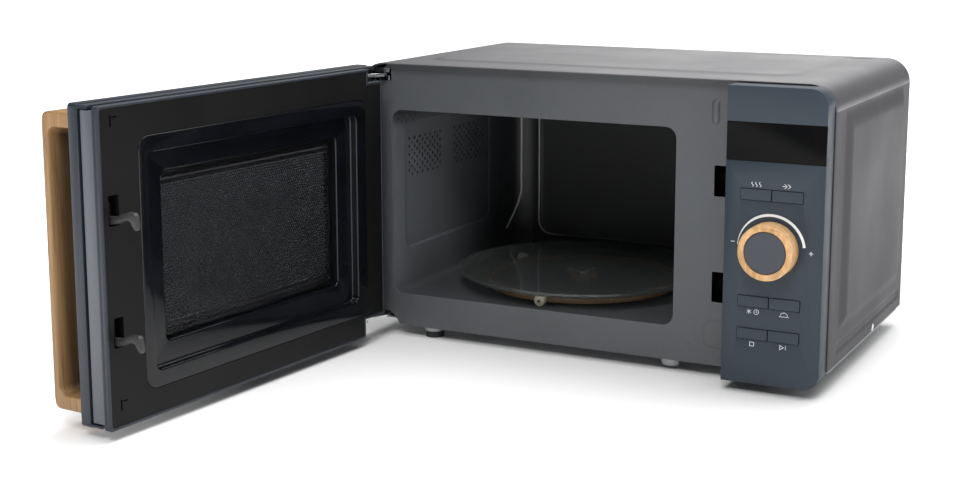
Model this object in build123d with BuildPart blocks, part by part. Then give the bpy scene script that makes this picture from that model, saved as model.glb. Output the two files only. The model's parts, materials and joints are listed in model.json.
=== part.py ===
"""Countertop microwave oven, 440 mm wide, door open.

Frame: +X to the right seen from the front, +Y to the back, +Z up.
Origin: on the floor, at the centre of the four rubber feet.
Rest pose: the door stands open by door_open degrees.
"""
from build123d import *
import math
import os

os.makedirs("parts", exist_ok=True)

# ---------------------------------------------------------------- dimensions
# cabinet
cab_half_w = 220.0          # half width of the cabinet
cab_front = -130.0          # front edge of the wrapper
cab_rear = 130.0            # rear edge of the wrapper
cab_top = 255.5             # top of the wrapper
cab_side_bottom = 20.0      # lower edge of the wrapper's sides
cab_bend_r = 22.0           # bend between top and side
sheet_t = 1.2               # sheet thickness used throughout
side_rise = 4.0             # how far the side panels are pressed outward
side_foot = (-99.0, 106.0, 48.5, 231.0)        # foot of the raised panel: y0, y1, z0, z1
side_crown = (-86.0, 93.0, 60.0, 216.0)        # its flat
top_rise = 1.5              # how far the top panel is pressed upward
top_foot = (-181.0, 178.0, -90.0, 100.0)       # foot of the raised panel: x0, x1, y0, y1
top_crown = (-170.0, 167.0, -79.0, 89.0)       # its flat
groove_y, groove_z = (-105.0, 116.0), (28.5, 38.5)   # pressed groove low on each side
groove_d = 1.2

# front plate and cavity
plate_front = -120.0
plate_bottom = 10.5
plate_left = -218.5
plate_right = 152.0
cav_x0, cav_x1 = -193.8, 82.2
cav_z0, cav_z1 = 38.0, 212.3
lip_z0 = 40.9
cav_corner_r = 10.0
cav_back = 126.0
cav_back_r = 30.0
latch_slot_x0, latch_slot_x1 = 116.5, 131.0
latch_slots_z = ((156.4, 182.5), (65.8, 91.9))
hinge_hole = (-210.9, -194.3, 238.6, 250.0)

# base and feet
base_z = 16.0
foot_x, foot_y = 158.0, 105.5
foot_r = 8.6
foot_h = 5.0
dome_r_top, dome_r_bottom = 12.6, 10.0

# control panel
pan_front = -151.0
pan_x0, pan_x1 = 136.7, 218.0
pan_z0, pan_z1 = 8.9, 253.8
pan_corner_r = 14.0
pan_wall = 2.4
disp_z0, disp_z1 = 193.2, 225.0
dial_x, dial_z = 176.8, 123.0
knob_r, knob_cap_r = 22.8, 17.4
knob_front = -171.0
btn_w, btn_h, btn_gap = 25.2, 8.8, 0.5
btn_cx = (162.6, 188.8)
btn_rows = (166.4, 78.0, 50.8)
btn_travel = 1.0
btn_names = (("button_power", "button_express"),
             ("button_defrost_clock", "button_auto_cook"),
             ("button_stop", "button_start"))

# door
door_open = 95.0
hinge_x, hinge_y = -212.0, -142.0
door_x0, door_x1 = -219.5, 135.2
door_z0, door_z1 = 8.9, 253.8
door_front, door_rear = -151.0, -121.0
win_x0, win_x1, win_z0, win_z1 = -147.0, 60.0, 70.0, 189.0
ring_x0, ring_x1, ring_z0, ring_z1 = -189.0, 95.5, 30.5, 227.0
pin_r, pin_clear = 2.5, 0.06
arm_t = 3.0
arm_z_up, arm_z_low = 243.0, 17.5
hook_z = (166.0, 74.0)
hook_x0, hook_x1 = 120.0, 124.0

# handle
han_x0, han_x1 = 94.0, 132.0
han_z0, han_z1 = 17.5, 246.0
han_depth = 33.0

# turntable
tt_x, tt_y = -56.0, 3.5
tray_r = 120.0
roller_ring_r = 92.0
roller_r = 4.9
roller_path_r = 99.0
roller_start = -89.0

# fan, rear right
fan_x, fan_z, fan_r = 158.0, 178.0, 40.0
fan_y = 92.0

# ---------------------------------------------------------------- helpers
_a = math.radians(-door_open)
_c, _s = math.cos(_a), math.sin(_a)


def turned(x, y):
    """Point of the shut door, turned about the hinge line to the open door."""
    return (hinge_x + _c * (x - hinge_x) - _s * (y - hinge_y),
            hinge_y + _s * (x - hinge_x) + _c * (y - hinge_y))


def front_at(y):
    """Plane facing the front at depth y: local x is +X, local y is +Z."""
    return Plane(origin=(0, y, 0), x_dir=(1, 0, 0), z_dir=(0, -1, 0))


def door_at(y):
    """The same plane on the shut door at depth y, carried to the open door."""
    ox, oy = turned(0, y)
    return Plane(origin=(ox, oy, 0), x_dir=(_c, _s, 0), z_dir=(_s, -_c, 0))


def door_level(z):
    """Horizontal plane at height z in the shut door's own x and y."""
    ox, oy = turned(0, 0)
    return Plane(origin=(ox, oy, z), x_dir=(_c, _s, 0), z_dir=(0, 0, 1))


def door_side(x):
    """Plane across the door at x of the shut door: local x is its y, local y is +Z."""
    ox, oy = turned(x, 0)
    return Plane(origin=(ox, oy, 0), x_dir=(-_s, _c, 0), z_dir=(_c, _s, 0))


def side_at(x):
    """Plane facing +X at x: local x is +Y, local y is +Z."""
    return Plane(origin=(x, 0, 0), x_dir=(0, 1, 0), z_dir=(1, 0, 0))


def rect(x0, x1, y0, y1, r=0.0, mode=Mode.ADD):
    """Rectangle by its limits, with optional corner radius."""
    with Locations(((x0 + x1) / 2, (y0 + y1) / 2)):
        if r > 0:
            RectangleRounded(x1 - x0, y1 - y0, r, mode=mode)
        else:
            Rectangle(x1 - x0, y1 - y0, mode=mode)


def block(plane, x0, x1, y0, y1, depth, r=0.0, mode=Mode.ADD):
    """Extruded rectangle on a plane, inside the current part."""
    with BuildSketch(plane, mode=Mode.PRIVATE) as profile:
        rect(x0, x1, y0, y1, r)
    extrude(profile.sketch, amount=depth, mode=mode)


def round_bar(plane, x, y, r, depth, mode=Mode.ADD):
    """Extruded disc on a plane, inside the current part."""
    with BuildSketch(plane, mode=Mode.PRIVATE) as disc:
        with Locations((x, y)):
            Circle(r)
    extrude(disc.sketch, amount=depth, mode=mode)


def wrap_outline(inset, bend, z_low):
    """Closed outline of the wrapper's section, inset from the outer skin."""
    w = cab_half_w - inset
    top = cab_top - inset
    r = bend - inset
    with BuildLine(mode=Mode.PRIVATE) as section:
        Line((-w, z_low), (-w, top - r))
        RadiusArc((-w, top - r), (-w + r, top), r)
        Line((-w + r, top), (w - r, top))
        RadiusArc((w - r, top), (w, top - r), r)
        Line((w, top - r), (w, z_low))
        Line((w, z_low), (-w, z_low))
    make_face(section.edges())


# ================================================================ cabinet
# wrapper: one sheet bent over both sides and the top, with pressed panels
with BuildPart() as wrap_outer:
    with BuildSketch(front_at(cab_rear)):
        wrap_outline(0, cab_bend_r, cab_side_bottom)
    extrude(amount=cab_rear - cab_front)
    for side in (-1, 1):
        with BuildSketch(side_at(side * cab_half_w)):
            rect(side_foot[0], side_foot[1], side_foot[2], side_foot[3], 14)
        with BuildSketch(side_at(side * (cab_half_w + side_rise))):
            rect(side_crown[0], side_crown[1], side_crown[2], side_crown[3], 8)
        loft()
        # long pressed groove along the lower edge
        with BuildSketch(side_at(side * cab_half_w)):
            with Locations(((groove_y[0] + groove_y[1]) / 2, (groove_z[0] + groove_z[1]) / 2)):
                SlotOverall(groove_y[1] - groove_y[0], groove_z[1] - groove_z[0])
        extrude(amount=-side * groove_d, mode=Mode.SUBTRACT)
    with BuildSketch(Plane.XY.offset(cab_top)):
        rect(top_foot[0], top_foot[1], top_foot[2], top_foot[3], 30)
    with BuildSketch(Plane.XY.offset(cab_top + top_rise)):
        rect(top_crown[0], top_crown[1], top_crown[2], top_crown[3], 20)
    loft()

with BuildPart() as wrap_inner:
    with BuildSketch(front_at(cab_rear + 1)):
        wrap_outline(sheet_t, cab_bend_r, cab_side_bottom - 1)
    extrude(amount=cab_rear - cab_front + 2)
    for side in (-1, 1):
        with BuildSketch(side_at(side * (cab_half_w - sheet_t))):
            rect(side_foot[0] + 1, side_foot[1] - 1, side_foot[2] + 1, side_foot[3] - 1, 13)
        with BuildSketch(side_at(side * (cab_half_w - sheet_t + side_rise))):
            rect(side_crown[0] + 1, side_crown[1] - 1, side_crown[2] + 1, side_crown[3] - 1, 7)
        loft()
        with BuildSketch(side_at(side * (cab_half_w - sheet_t))):
            with Locations(((groove_y[0] + groove_y[1]) / 2, (groove_z[0] + groove_z[1]) / 2)):
                SlotOverall(groove_y[1] - groove_y[0] + 2, groove_z[1] - groove_z[0] + 2)
        extrude(amount=-side * groove_d, mode=Mode.SUBTRACT)
    with BuildSketch(Plane.XY.offset(cab_top - sheet_t)):
        rect(top_foot[0] + 1, top_foot[1] - 1, top_foot[2] + 1, top_foot[3] - 1, 29)
    with BuildSketch(Plane.XY.offset(cab_top - sheet_t + top_rise)):
        rect(top_crown[0] + 1, top_crown[1] - 1, top_crown[2] + 1, top_crown[3] - 1, 19)
    loft()

with BuildPart() as outer_cabinet:
    add(wrap_outer.part)
    add(wrap_inner.part, mode=Mode.SUBTRACT)
    # air inlet slots low on both sides at the rear
    with BuildSketch(side_at(-cab_half_w - 8)):
        with Locations(*[(66.0, 72.0 + 5.0 * i) for i in range(4)]):
            SlotOverall(36, 2.4)
    extrude(amount=20, mode=Mode.SUBTRACT)
    # hand slot in the top at the rear right
    with BuildSketch(Plane.XY.offset(cab_top - 4)):
        with Locations((175.0, 110.0)):
            SlotOverall(22, 3)
    extrude(amount=6, mode=Mode.SUBTRACT)

# front plate: flat pressed frame around the cavity mouth
with BuildPart() as front_plate:
    with BuildSketch(front_at(plate_front + sheet_t)):
        with BuildLine():
            Polyline((plate_left, 23.5), (plate_left, cab_top - sheet_t - 21.5),
                     (plate_left + 21, cab_top - sheet_t - 0.4), (plate_right, cab_top - sheet_t - 0.4),
                     (plate_right, plate_bottom), (-187.0, plate_bottom), (-190.0, 15.0),
                     (-196.0, 22.0), (-208.0, 23.5), (plate_left, 23.5))
        make_face()
        rect(cav_x0, cav_x1, lip_z0, cav_z1, cav_corner_r, Mode.SUBTRACT)
        for z0, z1 in latch_slots_z:
            rect(latch_slot_x0, latch_slot_x1, z0, z1, 0.8, Mode.SUBTRACT)
        rect(hinge_hole[0], hinge_hole[1], hinge_hole[2], hinge_hole[3], 1.0, Mode.SUBTRACT)
    extrude(amount=sheet_t)

# cavity: deep-drawn tub, open to the front, with a hole for the drive shaft
with BuildPart() as tub_outer:
    with BuildSketch(Plane.XY.offset(cav_z0 - sheet_t)):
        with BuildLine():
            x0, x1 = cav_x0 - sheet_t, cav_x1 + sheet_t
            yb, yf, r = cav_back + sheet_t, plate_front + sheet_t, cav_back_r + sheet_t
            Line((x0, yf), (x0, yb - r))
            RadiusArc((x0, yb - r), (x0 + r, yb), r)
            Line((x0 + r, yb), (x1 - r, yb))
            RadiusArc((x1 - r, yb), (x1, yb - r), r)
            Line((x1, yb - r), (x1, yf))
            Line((x1, yf), (x0, yf))
        make_face()
    extrude(amount=cav_z1 - cav_z0 + 2 * sheet_t)

with BuildPart() as tub_inner:
    with BuildSketch(Plane.XY.offset(cav_z0)):
        with BuildLine():
            x0, x1 = cav_x0, cav_x1
            yb, yf, r = cav_back, plate_front - 2, cav_back_r
            Line((x0, yf), (x0, yb - r))
            RadiusArc((x0, yb - r), (x0 + r, yb), r)
            Line((x0 + r, yb), (x1 - r, yb))
            RadiusArc((x1 - r, yb), (x1, yb - r), r)
            Line((x1, yb - r), (x1, yf))
            Line((x1, yf), (x0, yf))
        make_face()
    extrude(amount=cav_z1 - cav_z0)

with BuildPart() as cavity_shell:
    add(tub_outer.part)
    add(tub_inner.part, mode=Mode.SUBTRACT)
    round_bar(Plane.XY.offset(cav_z0 - 5), tt_x, tt_y, 6.5, 10, Mode.SUBTRACT)
    # steam vents, left wall: two groups of staggered holes
    with BuildSketch(side_at(cav_x0 - 3)):
        for gy in (-56.0, 33.5):
            with Locations((gy, 165.8)):
                with GridLocations(10.0, 7.6, 7, 5):
                    Circle(1.55)
            with Locations((gy, 162.0)):
                with GridLocations(10.0, 7.6, 6, 5):
                    Circle(1.55)
    extrude(amount=6, mode=Mode.SUBTRACT)
    # microwave port in the right wall
    block(side_at(cav_x1 - 1), -44, 44, 128, 172, 4, 3.0, Mode.SUBTRACT)
    # lamp holes high in the right wall
    with BuildSketch(side_at(cav_x1 - 1)):
        with Locations((84.0, 190.0)):
            with GridLocations(6, 6, 3, 3):
                Circle(1.8)
    extrude(amount=4, mode=Mode.SUBTRACT)

# rear panel with fan grille and hole for the cord bushing
with BuildPart() as rear_panel:
    block(front_at(cab_rear - 1.0), -218.3, 218.3, 20.4, 232.0, sheet_t)
    block(front_at(cab_rear - 1.0), -198.0, 198.0, 20.4, 253.6, sheet_t)
    with BuildSketch(front_at(cab_rear + 1)):
        with Locations((fan_x, fan_z)):
            with PolarLocations(18, 6):
                SlotOverall(13, 4, rotation=90)
            with PolarLocations(31, 10):
                SlotOverall(14, 4, rotation=90)
        with Locations((186, 46)):
            Circle(8.0)
        with Locations((-110, 170)):
            with GridLocations(16, 8, 5, 5):
                SlotOverall(12, 3)
    extrude(amount=6, mode=Mode.SUBTRACT)

# base plate with hollow domes over the feet
with BuildPart() as base_plate:
    block(Plane.XY.offset(base_z), -217.8, 217.8, plate_front + sheet_t + 0.5, 127.0, sheet_t, 4.0)
    domes = [(-foot_x, -foot_y, foot_h), (foot_x, -foot_y, foot_h), (-foot_x, foot_y, foot_h),
             (foot_x, foot_y, foot_h), (77.0, -105.0, 3.0)]
    for dx, dy, dz in domes:
        with BuildSketch(Plane.XY.offset(base_z)):
            with Locations((dx, dy)):
                Circle(dome_r_top - 1.9)
        extrude(amount=sheet_t, mode=Mode.SUBTRACT)
        with BuildSketch(Plane(origin=(dx, dy, 0), x_dir=(1, 0, 0), z_dir=(0, -1, 0))):
            with BuildLine():
                Polyline((3.0, dz), (dome_r_bottom - 1.5, dz), (dome_r_bottom, dz + 1.2),
                         (dome_r_top - 0.9, base_z - 1.0), (dome_r_top, base_z), (dome_r_top, base_z + sheet_t),
                         (dome_r_top - 1.9, base_z + sheet_t), (dome_r_bottom - sheet_t, dz + 2.4),
                         (dome_r_bottom - 2.4, dz + sheet_t), (3.0, dz + sheet_t), (3.0, dz))
            make_face()
        revolve(axis=Axis((dx, dy, 0), (0, 0, 1)))
    # sealed floor of the spare dome
    round_bar(Plane.XY.offset(3.0), 77.0, -105.0, 3.0, sheet_t)
    # vents under the transformer
    with BuildSketch(Plane.XY.offset(base_z - 1)):
        with Locations((150, 40)):
            with GridLocations(10, 24, 8, 3):
                SlotOverall(18, 4, rotation=90)
    extrude(amount=4, mode=Mode.SUBTRACT)

with BuildPart() as feet:
    for dx in (-foot_x, foot_x):
        for dy in (-foot_y, foot_y):
            round_bar(Plane.XY, dx, dy, foot_r, foot_h)
            round_bar(Plane.XY.offset(foot_h), dx, dy, 3.0, sheet_t)
            round_bar(Plane.XY.offset(foot_h + sheet_t), dx, dy, 4.2, 1.6)

with BuildPart() as rear_spacers:
    for sx in (-184.0, 60.0):
        round_bar(front_at(cab_rear + 15.0), sx, 228.0, 7.0, 15.8)
        with BuildSketch(front_at(cab_rear - 0.8)):
            with Locations((sx, 228.0)):
                Circle(11.0)
        extrude(amount=-2.0)

with BuildPart() as cord_bushing:
    with BuildSketch(front_at(cab_rear + 5.0)):
        with Locations((186, 46)):
            Circle(10.5)
            Circle(4.0, mode=Mode.SUBTRACT)
    extrude(amount=6.0)
    with BuildSketch(front_at(cab_rear - 1.0)):
        with Locations((186, 46)):
            Circle(8.0)
            Circle(4.0, mode=Mode.SUBTRACT)
    extrude(amount=2.6)

# screws: side screws of the wrapper and rear screws of the panel
with BuildPart() as cabinet_screws:
    for side in (-1, 1):
        with BuildSketch(side_at(side * cab_half_w)):
            with Locations((16.0, 24.6)):
                Circle(3.2)
        extrude(amount=1.6 * side)
    for sx, sz in ((-205, 60), (-205, 200), (205, 60), (205, 205), (0, 245), (-120, 245), (140, 245)):
        round_bar(front_at(cab_rear + 0.6), sx, sz, 3.4, 1.6)

# ================================================================ hinges
# each arm: a flat tongue from behind the front plate to the hinge line
with BuildPart() as hinge_arms:
    for z in (arm_z_up, arm_z_low):
        with BuildSketch(Plane.XY.offset(z)):
            with BuildLine():
                Polyline((-217.3, hinge_y), (-206.7, hinge_y), (-197.0, -127.0), (-197.0, -116.0),
                         (-208.0, -116.0), (-209.0, -127.0), (-217.3, hinge_y))
            make_face()
            with Locations((hinge_x, hinge_y)):
                Circle(5.3)
                Circle(pin_r, mode=Mode.SUBTRACT)
        extrude(amount=arm_t)
    # flanges welded behind the front plate
    block(front_at(-117.3), -208.0, -197.0, 225.0, 250.0, 1.5)
    block(front_at(-117.3), -208.0, -197.0, 17.5, 37.0, 1.5)

with BuildPart() as hinge_pins:
    round_bar(Plane.XY.offset(229.0), hinge_x, hinge_y, pin_r, 22.5)
    round_bar(Plane.XY.offset(14.5), hinge_x, hinge_y, pin_r, 24.5)

# ================================================================ door
# outer frame: tray-shaped moulding, front face ring, walls and hinge blocks
with BuildPart() as door_frame:
    block(door_at(-141.5), door_x0, door_x1, door_z0, door_z1, 9.5, 3.0)
    # walls at the top, bottom and hinge side; the free side is left to the trim strip
    block(door_at(-131.5), -218.8, door_x1, 9.5, 253.2, 10.0, 2.5)
    block(door_at(-131.0), -216.4, 150.0, 12.1, 250.6, 10.5, 0, Mode.SUBTRACT)
    block(door_at(-134.0), door_x0 + 2.6, door_x1 - 2.6, door_z0 + 2.6, door_z1 - 2.6, 13.5, 1.5, Mode.SUBTRACT)
    # front face ring: seat for the glass, window behind it
    block(door_at(-140.0), door_x0 + 4.0, door_x1 - 4.0, door_z0 + 4.0, door_z1 - 4.0, 12.0, 2.0, Mode.SUBTRACT)
    with BuildSketch(door_at(-147.3)):
        rect(door_x0 + 2.0, door_x1 - 2.0, door_z0 + 2.0, door_z1 - 2.0, 2.0)
        rect(win_x0 - 18, win_x1 + 18, win_z0 - 22, win_z1 + 22, 8.0, Mode.SUBTRACT)
    extrude(amount=0.9)
    # hinge blocks
    block(door_level(228.0), -217.5, -203.0, -147.6, -136.0, door_z1 - 2.0 - 228.0)
    block(door_level(26.0), -217.5, -203.0, -147.6, -136.0, 18.0)
    # pockets that the hinge arms swing in, open to the side and back
    block(door_level(240.6), -230.0, -193.0, -148.6, -110.0, 8.2, 0, Mode.SUBTRACT)
    block(door_level(5.0), -230.0, -185.0, -148.6, -110.0, 19.5, 0, Mode.SUBTRACT)
    # upper corner set back, clear of the wrapper's bend
    block(door_level(236.0), -230.0, -210.0, -133.6, -110.0, 24.0, 0, Mode.SUBTRACT)
    # bores for the hinge pins
    round_bar(Plane.XY.offset(228.5), hinge_x, hinge_y, pin_r + pin_clear, 23.6, Mode.SUBTRACT)
    round_bar(Plane.XY.offset(10.0), hinge_x, hinge_y, pin_r + pin_clear, 29.6, Mode.SUBTRACT)
    # screw holes for the handle
    for hz in (45.0, 217.0):
        with BuildSketch(door_at(-140.0)):
            with Locations((102.0, hz)):
                Circle(2.2)
        extrude(amount=12.0, mode=Mode.SUBTRACT)

# front glass, let into the frame
with BuildPart() as door_glass:
    block(door_at(-148.3), door_x0 + 4.2, door_x1 - 4.2, door_z0 + 4.2, door_z1 - 4.2, 2.5, 2.0)
    for hz in (45.0, 217.0):
        with BuildSketch(door_at(-147.0)):
            with Locations((102.0, hz)):
                Circle(2.2)
        extrude(amount=5.0, mode=Mode.SUBTRACT)

# free-edge strip between the outer and the inner moulding
with BuildPart() as door_edge_trim:
    with BuildSketch(door_level(13.2)):
        rect(door_x1 - 3.0, door_x1 - 1.2, -139.9, -127.5)
        rect(door_x1 - 5.6, door_x1 - 3.0, -139.9, -138.6)
    extrude(amount=236.4)

# inner moulding: picture frame that covers the choke, with latch slots
with BuildPart() as door_inner_frame:
    block(door_at(door_rear), -214.0, door_x1, door_z0, door_z1 - 1.0, 2.4, 2.0)
    with BuildSketch(door_at(door_rear - 2.4)):
        rect(-214.0, door_x1, door_z0, door_z1 - 1.0, 2.0)
        rect(-211.6, door_x1 - 2.4, door_z0 + 2.4, door_z1 - 3.4, 1.0, Mode.SUBTRACT)
    extrude(amount=3.8)
    with BuildSketch(door_at(door_rear + 1)):
        rect(ring_x0, ring_x1, ring_z0, ring_z1, 12.0)
    extrude(amount=12.0, mode=Mode.SUBTRACT)
    # guide wall, back wall and spring seat for the latch slider
    block(door_at(door_rear - 1.0), 113.0, 115.0, hook_z[1] - 14.0, hook_z[0] + 37.0, 16.4)
    block(door_at(-136.4), 113.0, 128.5, hook_z[1] - 14.0, hook_z[0] + 37.0, 2.0)
    block(door_at(door_rear - 1.0), 113.0, 128.5, hook_z[0] + 34.4, hook_z[0] + 37.0, 16.0)
    for hz in hook_z:
        with BuildSketch(door_at(door_rear + 1)):
            rect(117.0, 127.5, hz - 2.5, hz + 20.5, 0.8)
        extrude(amount=6.0, mode=Mode.SUBTRACT)
    # corner cut away for the hinge arm and the wrapper's bend
    block(door_level(240.6), -230.0, -193.0, -148.6, -110.0, 16.0, 0, Mode.SUBTRACT)
    block(door_level(5.0), -230.0, -185.0, -148.6, -110.0, 21.0, 0, Mode.SUBTRACT)

# pressed metal frame: carries the screen, its rim is the choke
with BuildPart() as door_metal_frame:
    with BuildSketch(door_at(-135.6)):
        rect(-200.0, 100.0, 26.0, 232.0, 8.0)
        rect(win_x0, win_x1, win_z0, win_z1, 4.0, Mode.SUBTRACT)
    extrude(amount=1.2)
    with BuildSketch(door_at(-124.0)):
        rect(-200.0, 100.0, 26.0, 232.0, 8.0)
        rect(-198.8, 98.8, 27.2, 230.8, 6.8, Mode.SUBTRACT)
    extrude(amount=11.6)

# choke cover: glossy raised ring with a stepped well down to the screen
with BuildPart() as choke_cover:
    with BuildSketch(door_at(-121.4)):
        rect(ring_x0 + 0.4, ring_x1 - 0.4, ring_z0 + 0.4, ring_z1 - 0.4, 11.6)
        rect(ring_x0 + 14.0, ring_x1 - 12.0, ring_z0 + 14.0, ring_z1 - 14.0, 6.0, Mode.SUBTRACT)
    extrude(amount=2.0)
    with BuildSketch(door_at(-123.4)):
        rect(ring_x0 + 11.6, ring_x1 - 9.6, ring_z0 + 11.6, ring_z1 - 11.6, 8.0)
        rect(ring_x0 + 14.0, ring_x1 - 12.0, ring_z0 + 14.0, ring_z1 - 14.0, 6.0, Mode.SUBTRACT)
    extrude(amount=6.0)
    with BuildSketch(door_at(-128.4)):
        rect(ring_x0 + 11.6, ring_x1 - 9.6, ring_z0 + 11.6, ring_z1 - 11.6, 8.0)
        rect(win_x0 - 7.0, win_x1 + 5.0, win_z0 - 7.0, win_z1 + 7.0, 5.0, Mode.SUBTRACT)
    extrude(amount=1.6)
    with BuildSketch(door_at(-128.4)):
        rect(win_x0 - 9.0, win_x1 + 7.0, win_z0 - 9.0, win_z1 + 9.0, 6.0)
        rect(win_x0 - 7.0, win_x1 + 5.0, win_z0 - 7.0, win_z1 + 7.0, 5.0, Mode.SUBTRACT)
    extrude(amount=5.4)

# perforated screen, behind the metal frame's window
with BuildPart() as door_screen:
    with BuildSketch(door_at(-134.9)):
        rect(win_x0 - 5.5, win_x1 + 3.5, win_z0 - 5.5, win_z1 + 5.5, 3.0)
    extrude(amount=0.6)

# clear inner film over the screen
with BuildPart() as door_inner_film:
    with BuildSketch(door_at(-134.0)):
        rect(win_x0 - 6.5, win_x1 + 4.5, win_z0 - 6.5, win_z1 + 6.5, 3.0)
    extrude(amount=0.4)

# latch: one slider with two hooks, drawn down by a spring
with BuildPart() as door_latch:
    block(door_side(117.6), -134.0, -129.4, hook_z[1] - 8, hook_z[0] + 14, 8.8)
    for hz in hook_z:
        with BuildSketch(door_side(hook_x0)):
            with BuildLine():
                Polyline((-131.0, hz - 1.7), (-131.0, hz + 4.5), (-120.0, hz + 4.8), (-117.3, hz + 5.3),
                         (-112.6, hz + 7.5), (-105.5, hz + 9.7), (-100.4, hz + 9.4), (-98.4, hz + 7.6),
                         (-97.0, hz + 1.3), (-97.4, hz - 2.4), (-98.8, hz - 3.8), (-100.2, hz - 3.2),
                         (-101.6, hz - 1.6), (-104.4, hz + 2.6), (-107.0, hz + 3.2), (-109.3, hz + 3.0),
                         (-116.5, hz - 0.2), (-123.4, hz - 1.5), (-131.0, hz - 1.7))
            make_face()
        extrude(amount=hook_x1 - hook_x0)

with BuildPart() as latch_spring:
    with BuildSketch(door_level(hook_z[0] + 14.0)):
        with Locations((122.0, -131.7)):
            Circle(2.8)
            Circle(1.9, mode=Mode.SUBTRACT)
    extrude(amount=20.0)

# handle: tall bar with rounded corners, hollowed from the free edge
with BuildPart() as door_handle:
    with BuildSketch(door_side(han_x0)):
        rect(door_front - han_depth, door_front - 12.0, han_z0, han_z1, 9.0)
        rect(door_front - han_depth + 9.5, door_front, han_z0, han_z1)
    extrude(amount=han_x1 - han_x0)
    _out = Axis((0, 0, 0), (_s, -_c, 0))
    _across = Axis((0, 0, 0), (_c, _s, 0))
    _ends = door_handle.faces().sort_by(_across)
    fillet(_ends[0].edges().sort_by(_out)[1:] + _ends[-1].edges().sort_by(_out)[1:], 3.2)
    with BuildSketch(door_side(han_x1 + 0.5)):
        rect(door_front - 25.0, door_front + 1.0, han_z0 + 12.5, han_z1 - 12.0, 6.0)
    extrude(amount=-25.5, mode=Mode.SUBTRACT)
    for hz in (45.0, 217.0):
        with BuildSketch(door_at(door_front + 1)):
            with Locations((102.0, hz)):
                Circle(1.6)
        extrude(amount=14.0, mode=Mode.SUBTRACT)

with BuildPart() as handle_screws:
    for hz in (45.0, 217.0):
        round_bar(door_at(-143.0), 102.0, hz, 3.6, 2.4)
        round_bar(door_at(-145.4), 102.0, hz, 1.6, 17.5)

# ================================================================ control panel
with BuildPart() as control_panel:
    # shell: rounded at the right-hand corners, square at the door side
    with BuildSketch(front_at(-120.6)):
        rect(pan_x0, pan_x1 - 30, pan_z0, pan_z1)
        rect(pan_x0 + 10, pan_x1 - 0.6, pan_z0, pan_z1, 21.0)
    extrude(amount=-cab_front - 120.6 + 0.4 + 10.0 - 0.0)
    with BuildSketch(front_at(cab_front - 0.4)):
        rect(pan_x0, pan_x1 - 30, pan_z0, pan_z1)
        rect(pan_x0 + 10, pan_x1 + 1.0, pan_z0, pan_z1, pan_corner_r)
    extrude(amount=-pan_front + cab_front - 0.4)
    # inside of the shell
    with BuildSketch(front_at(-119.0)):
        rect(pan_x0 + pan_wall, pan_x1 - 30, pan_z0 + pan_wall, pan_z1 - pan_wall)
        rect(pan_x0 + 10, pan_x1 - 0.6 - pan_wall, pan_z0 + pan_wall, pan_z1 - pan_wall, 18.6)
    extrude(amount=-pan_front - 119.0 - 2.8, mode=Mode.SUBTRACT)
    # seat for the display window, and the opening behind it
    block(front_at(pan_front + 1.6), pan_x0 - 1, pan_x1 + 2, disp_z0, disp_z1, 4, 0, Mode.SUBTRACT)
    block(front_at(pan_front + 8), 148.0, 206.0, 197.5, 221.0, 12, 0, Mode.SUBTRACT)
    # button openings
    for bz in btn_rows:
        for bx in btn_cx:
            block(front_at(pan_front + 8), bx - btn_w / 2 - btn_gap, bx + btn_w / 2 + btn_gap,
                  bz - btn_h / 2 - btn_gap, bz + btn_h / 2 + btn_gap, 12, 0.8, Mode.SUBTRACT)
    # dial opening
    round_bar(front_at(pan_front + 8), dial_x, dial_z, 6.0, 12, Mode.SUBTRACT)

with BuildPart() as display_window:
    block(front_at(pan_front + 1.5), pan_x0, pan_x1 + 1.0, disp_z0 + 0.1, disp_z1 - 0.1, 1.5)

# buttons: cap through the panel, flange behind it
button_parts = []
for (left_name, right_name), bz in zip(btn_names, btn_rows):
    for bname, bx in zip((left_name, right_name), btn_cx):
        with BuildPart() as button:
            block(front_at(pan_front + 3.4), bx - btn_w / 2, bx + btn_w / 2, bz - btn_h / 2, bz + btn_h / 2, 4.2, 0.6)
            block(front_at(pan_front + 4.2), bx - btn_w / 2 - 0.0, bx + btn_w / 2 + 0.0,
                  bz - btn_h / 2 - 1.4, bz + btn_h / 2 + 1.4, 1.0, 0.6)
            block(front_at(pan_front + 6.0), bx - 2.0, bx + 2.0, bz - 2.0, bz + 2.0, 2.2)
        button.part.label = bname
        button_parts.append(button)

# knob: wooden ring on a hub, with a round cap let into its front
with BuildPart() as knob_ring:
    with BuildSketch(front_at(pan_front - 0.6)):
        with Locations((dial_x, dial_z)):
            Circle(knob_r)
            Circle(knob_cap_r, mode=Mode.SUBTRACT)
    extrude(amount=-knob_front + pan_front - 0.6)
    fillet(knob_ring.faces().sort_by(Axis.Y)[0].edges(), 1.6)

with BuildPart() as knob_cap:
    round_bar(front_at(knob_front + 3.4), dial_x, dial_z, knob_cap_r, 2.8)

with BuildPart() as knob_hub:
    with BuildSketch(front_at(pan_front - 0.6)):
        with Locations((dial_x, dial_z)):
            Circle(knob_cap_r)
            Circle(14.0, mode=Mode.SUBTRACT)
            Circle(8.0)
            Circle(3.0, mode=Mode.SUBTRACT)
    extrude(amount=16.0)
    with BuildSketch(front_at(pan_front - 10.0)):
        with Locations((dial_x, dial_z)):
            Circle(knob_cap_r)
            Circle(3.0, mode=Mode.SUBTRACT)
    extrude(amount=6.6)

with BuildPart() as encoder_shaft:
    round_bar(front_at(-138.5), dial_x, dial_z, 3.0, 28.0)

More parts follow.
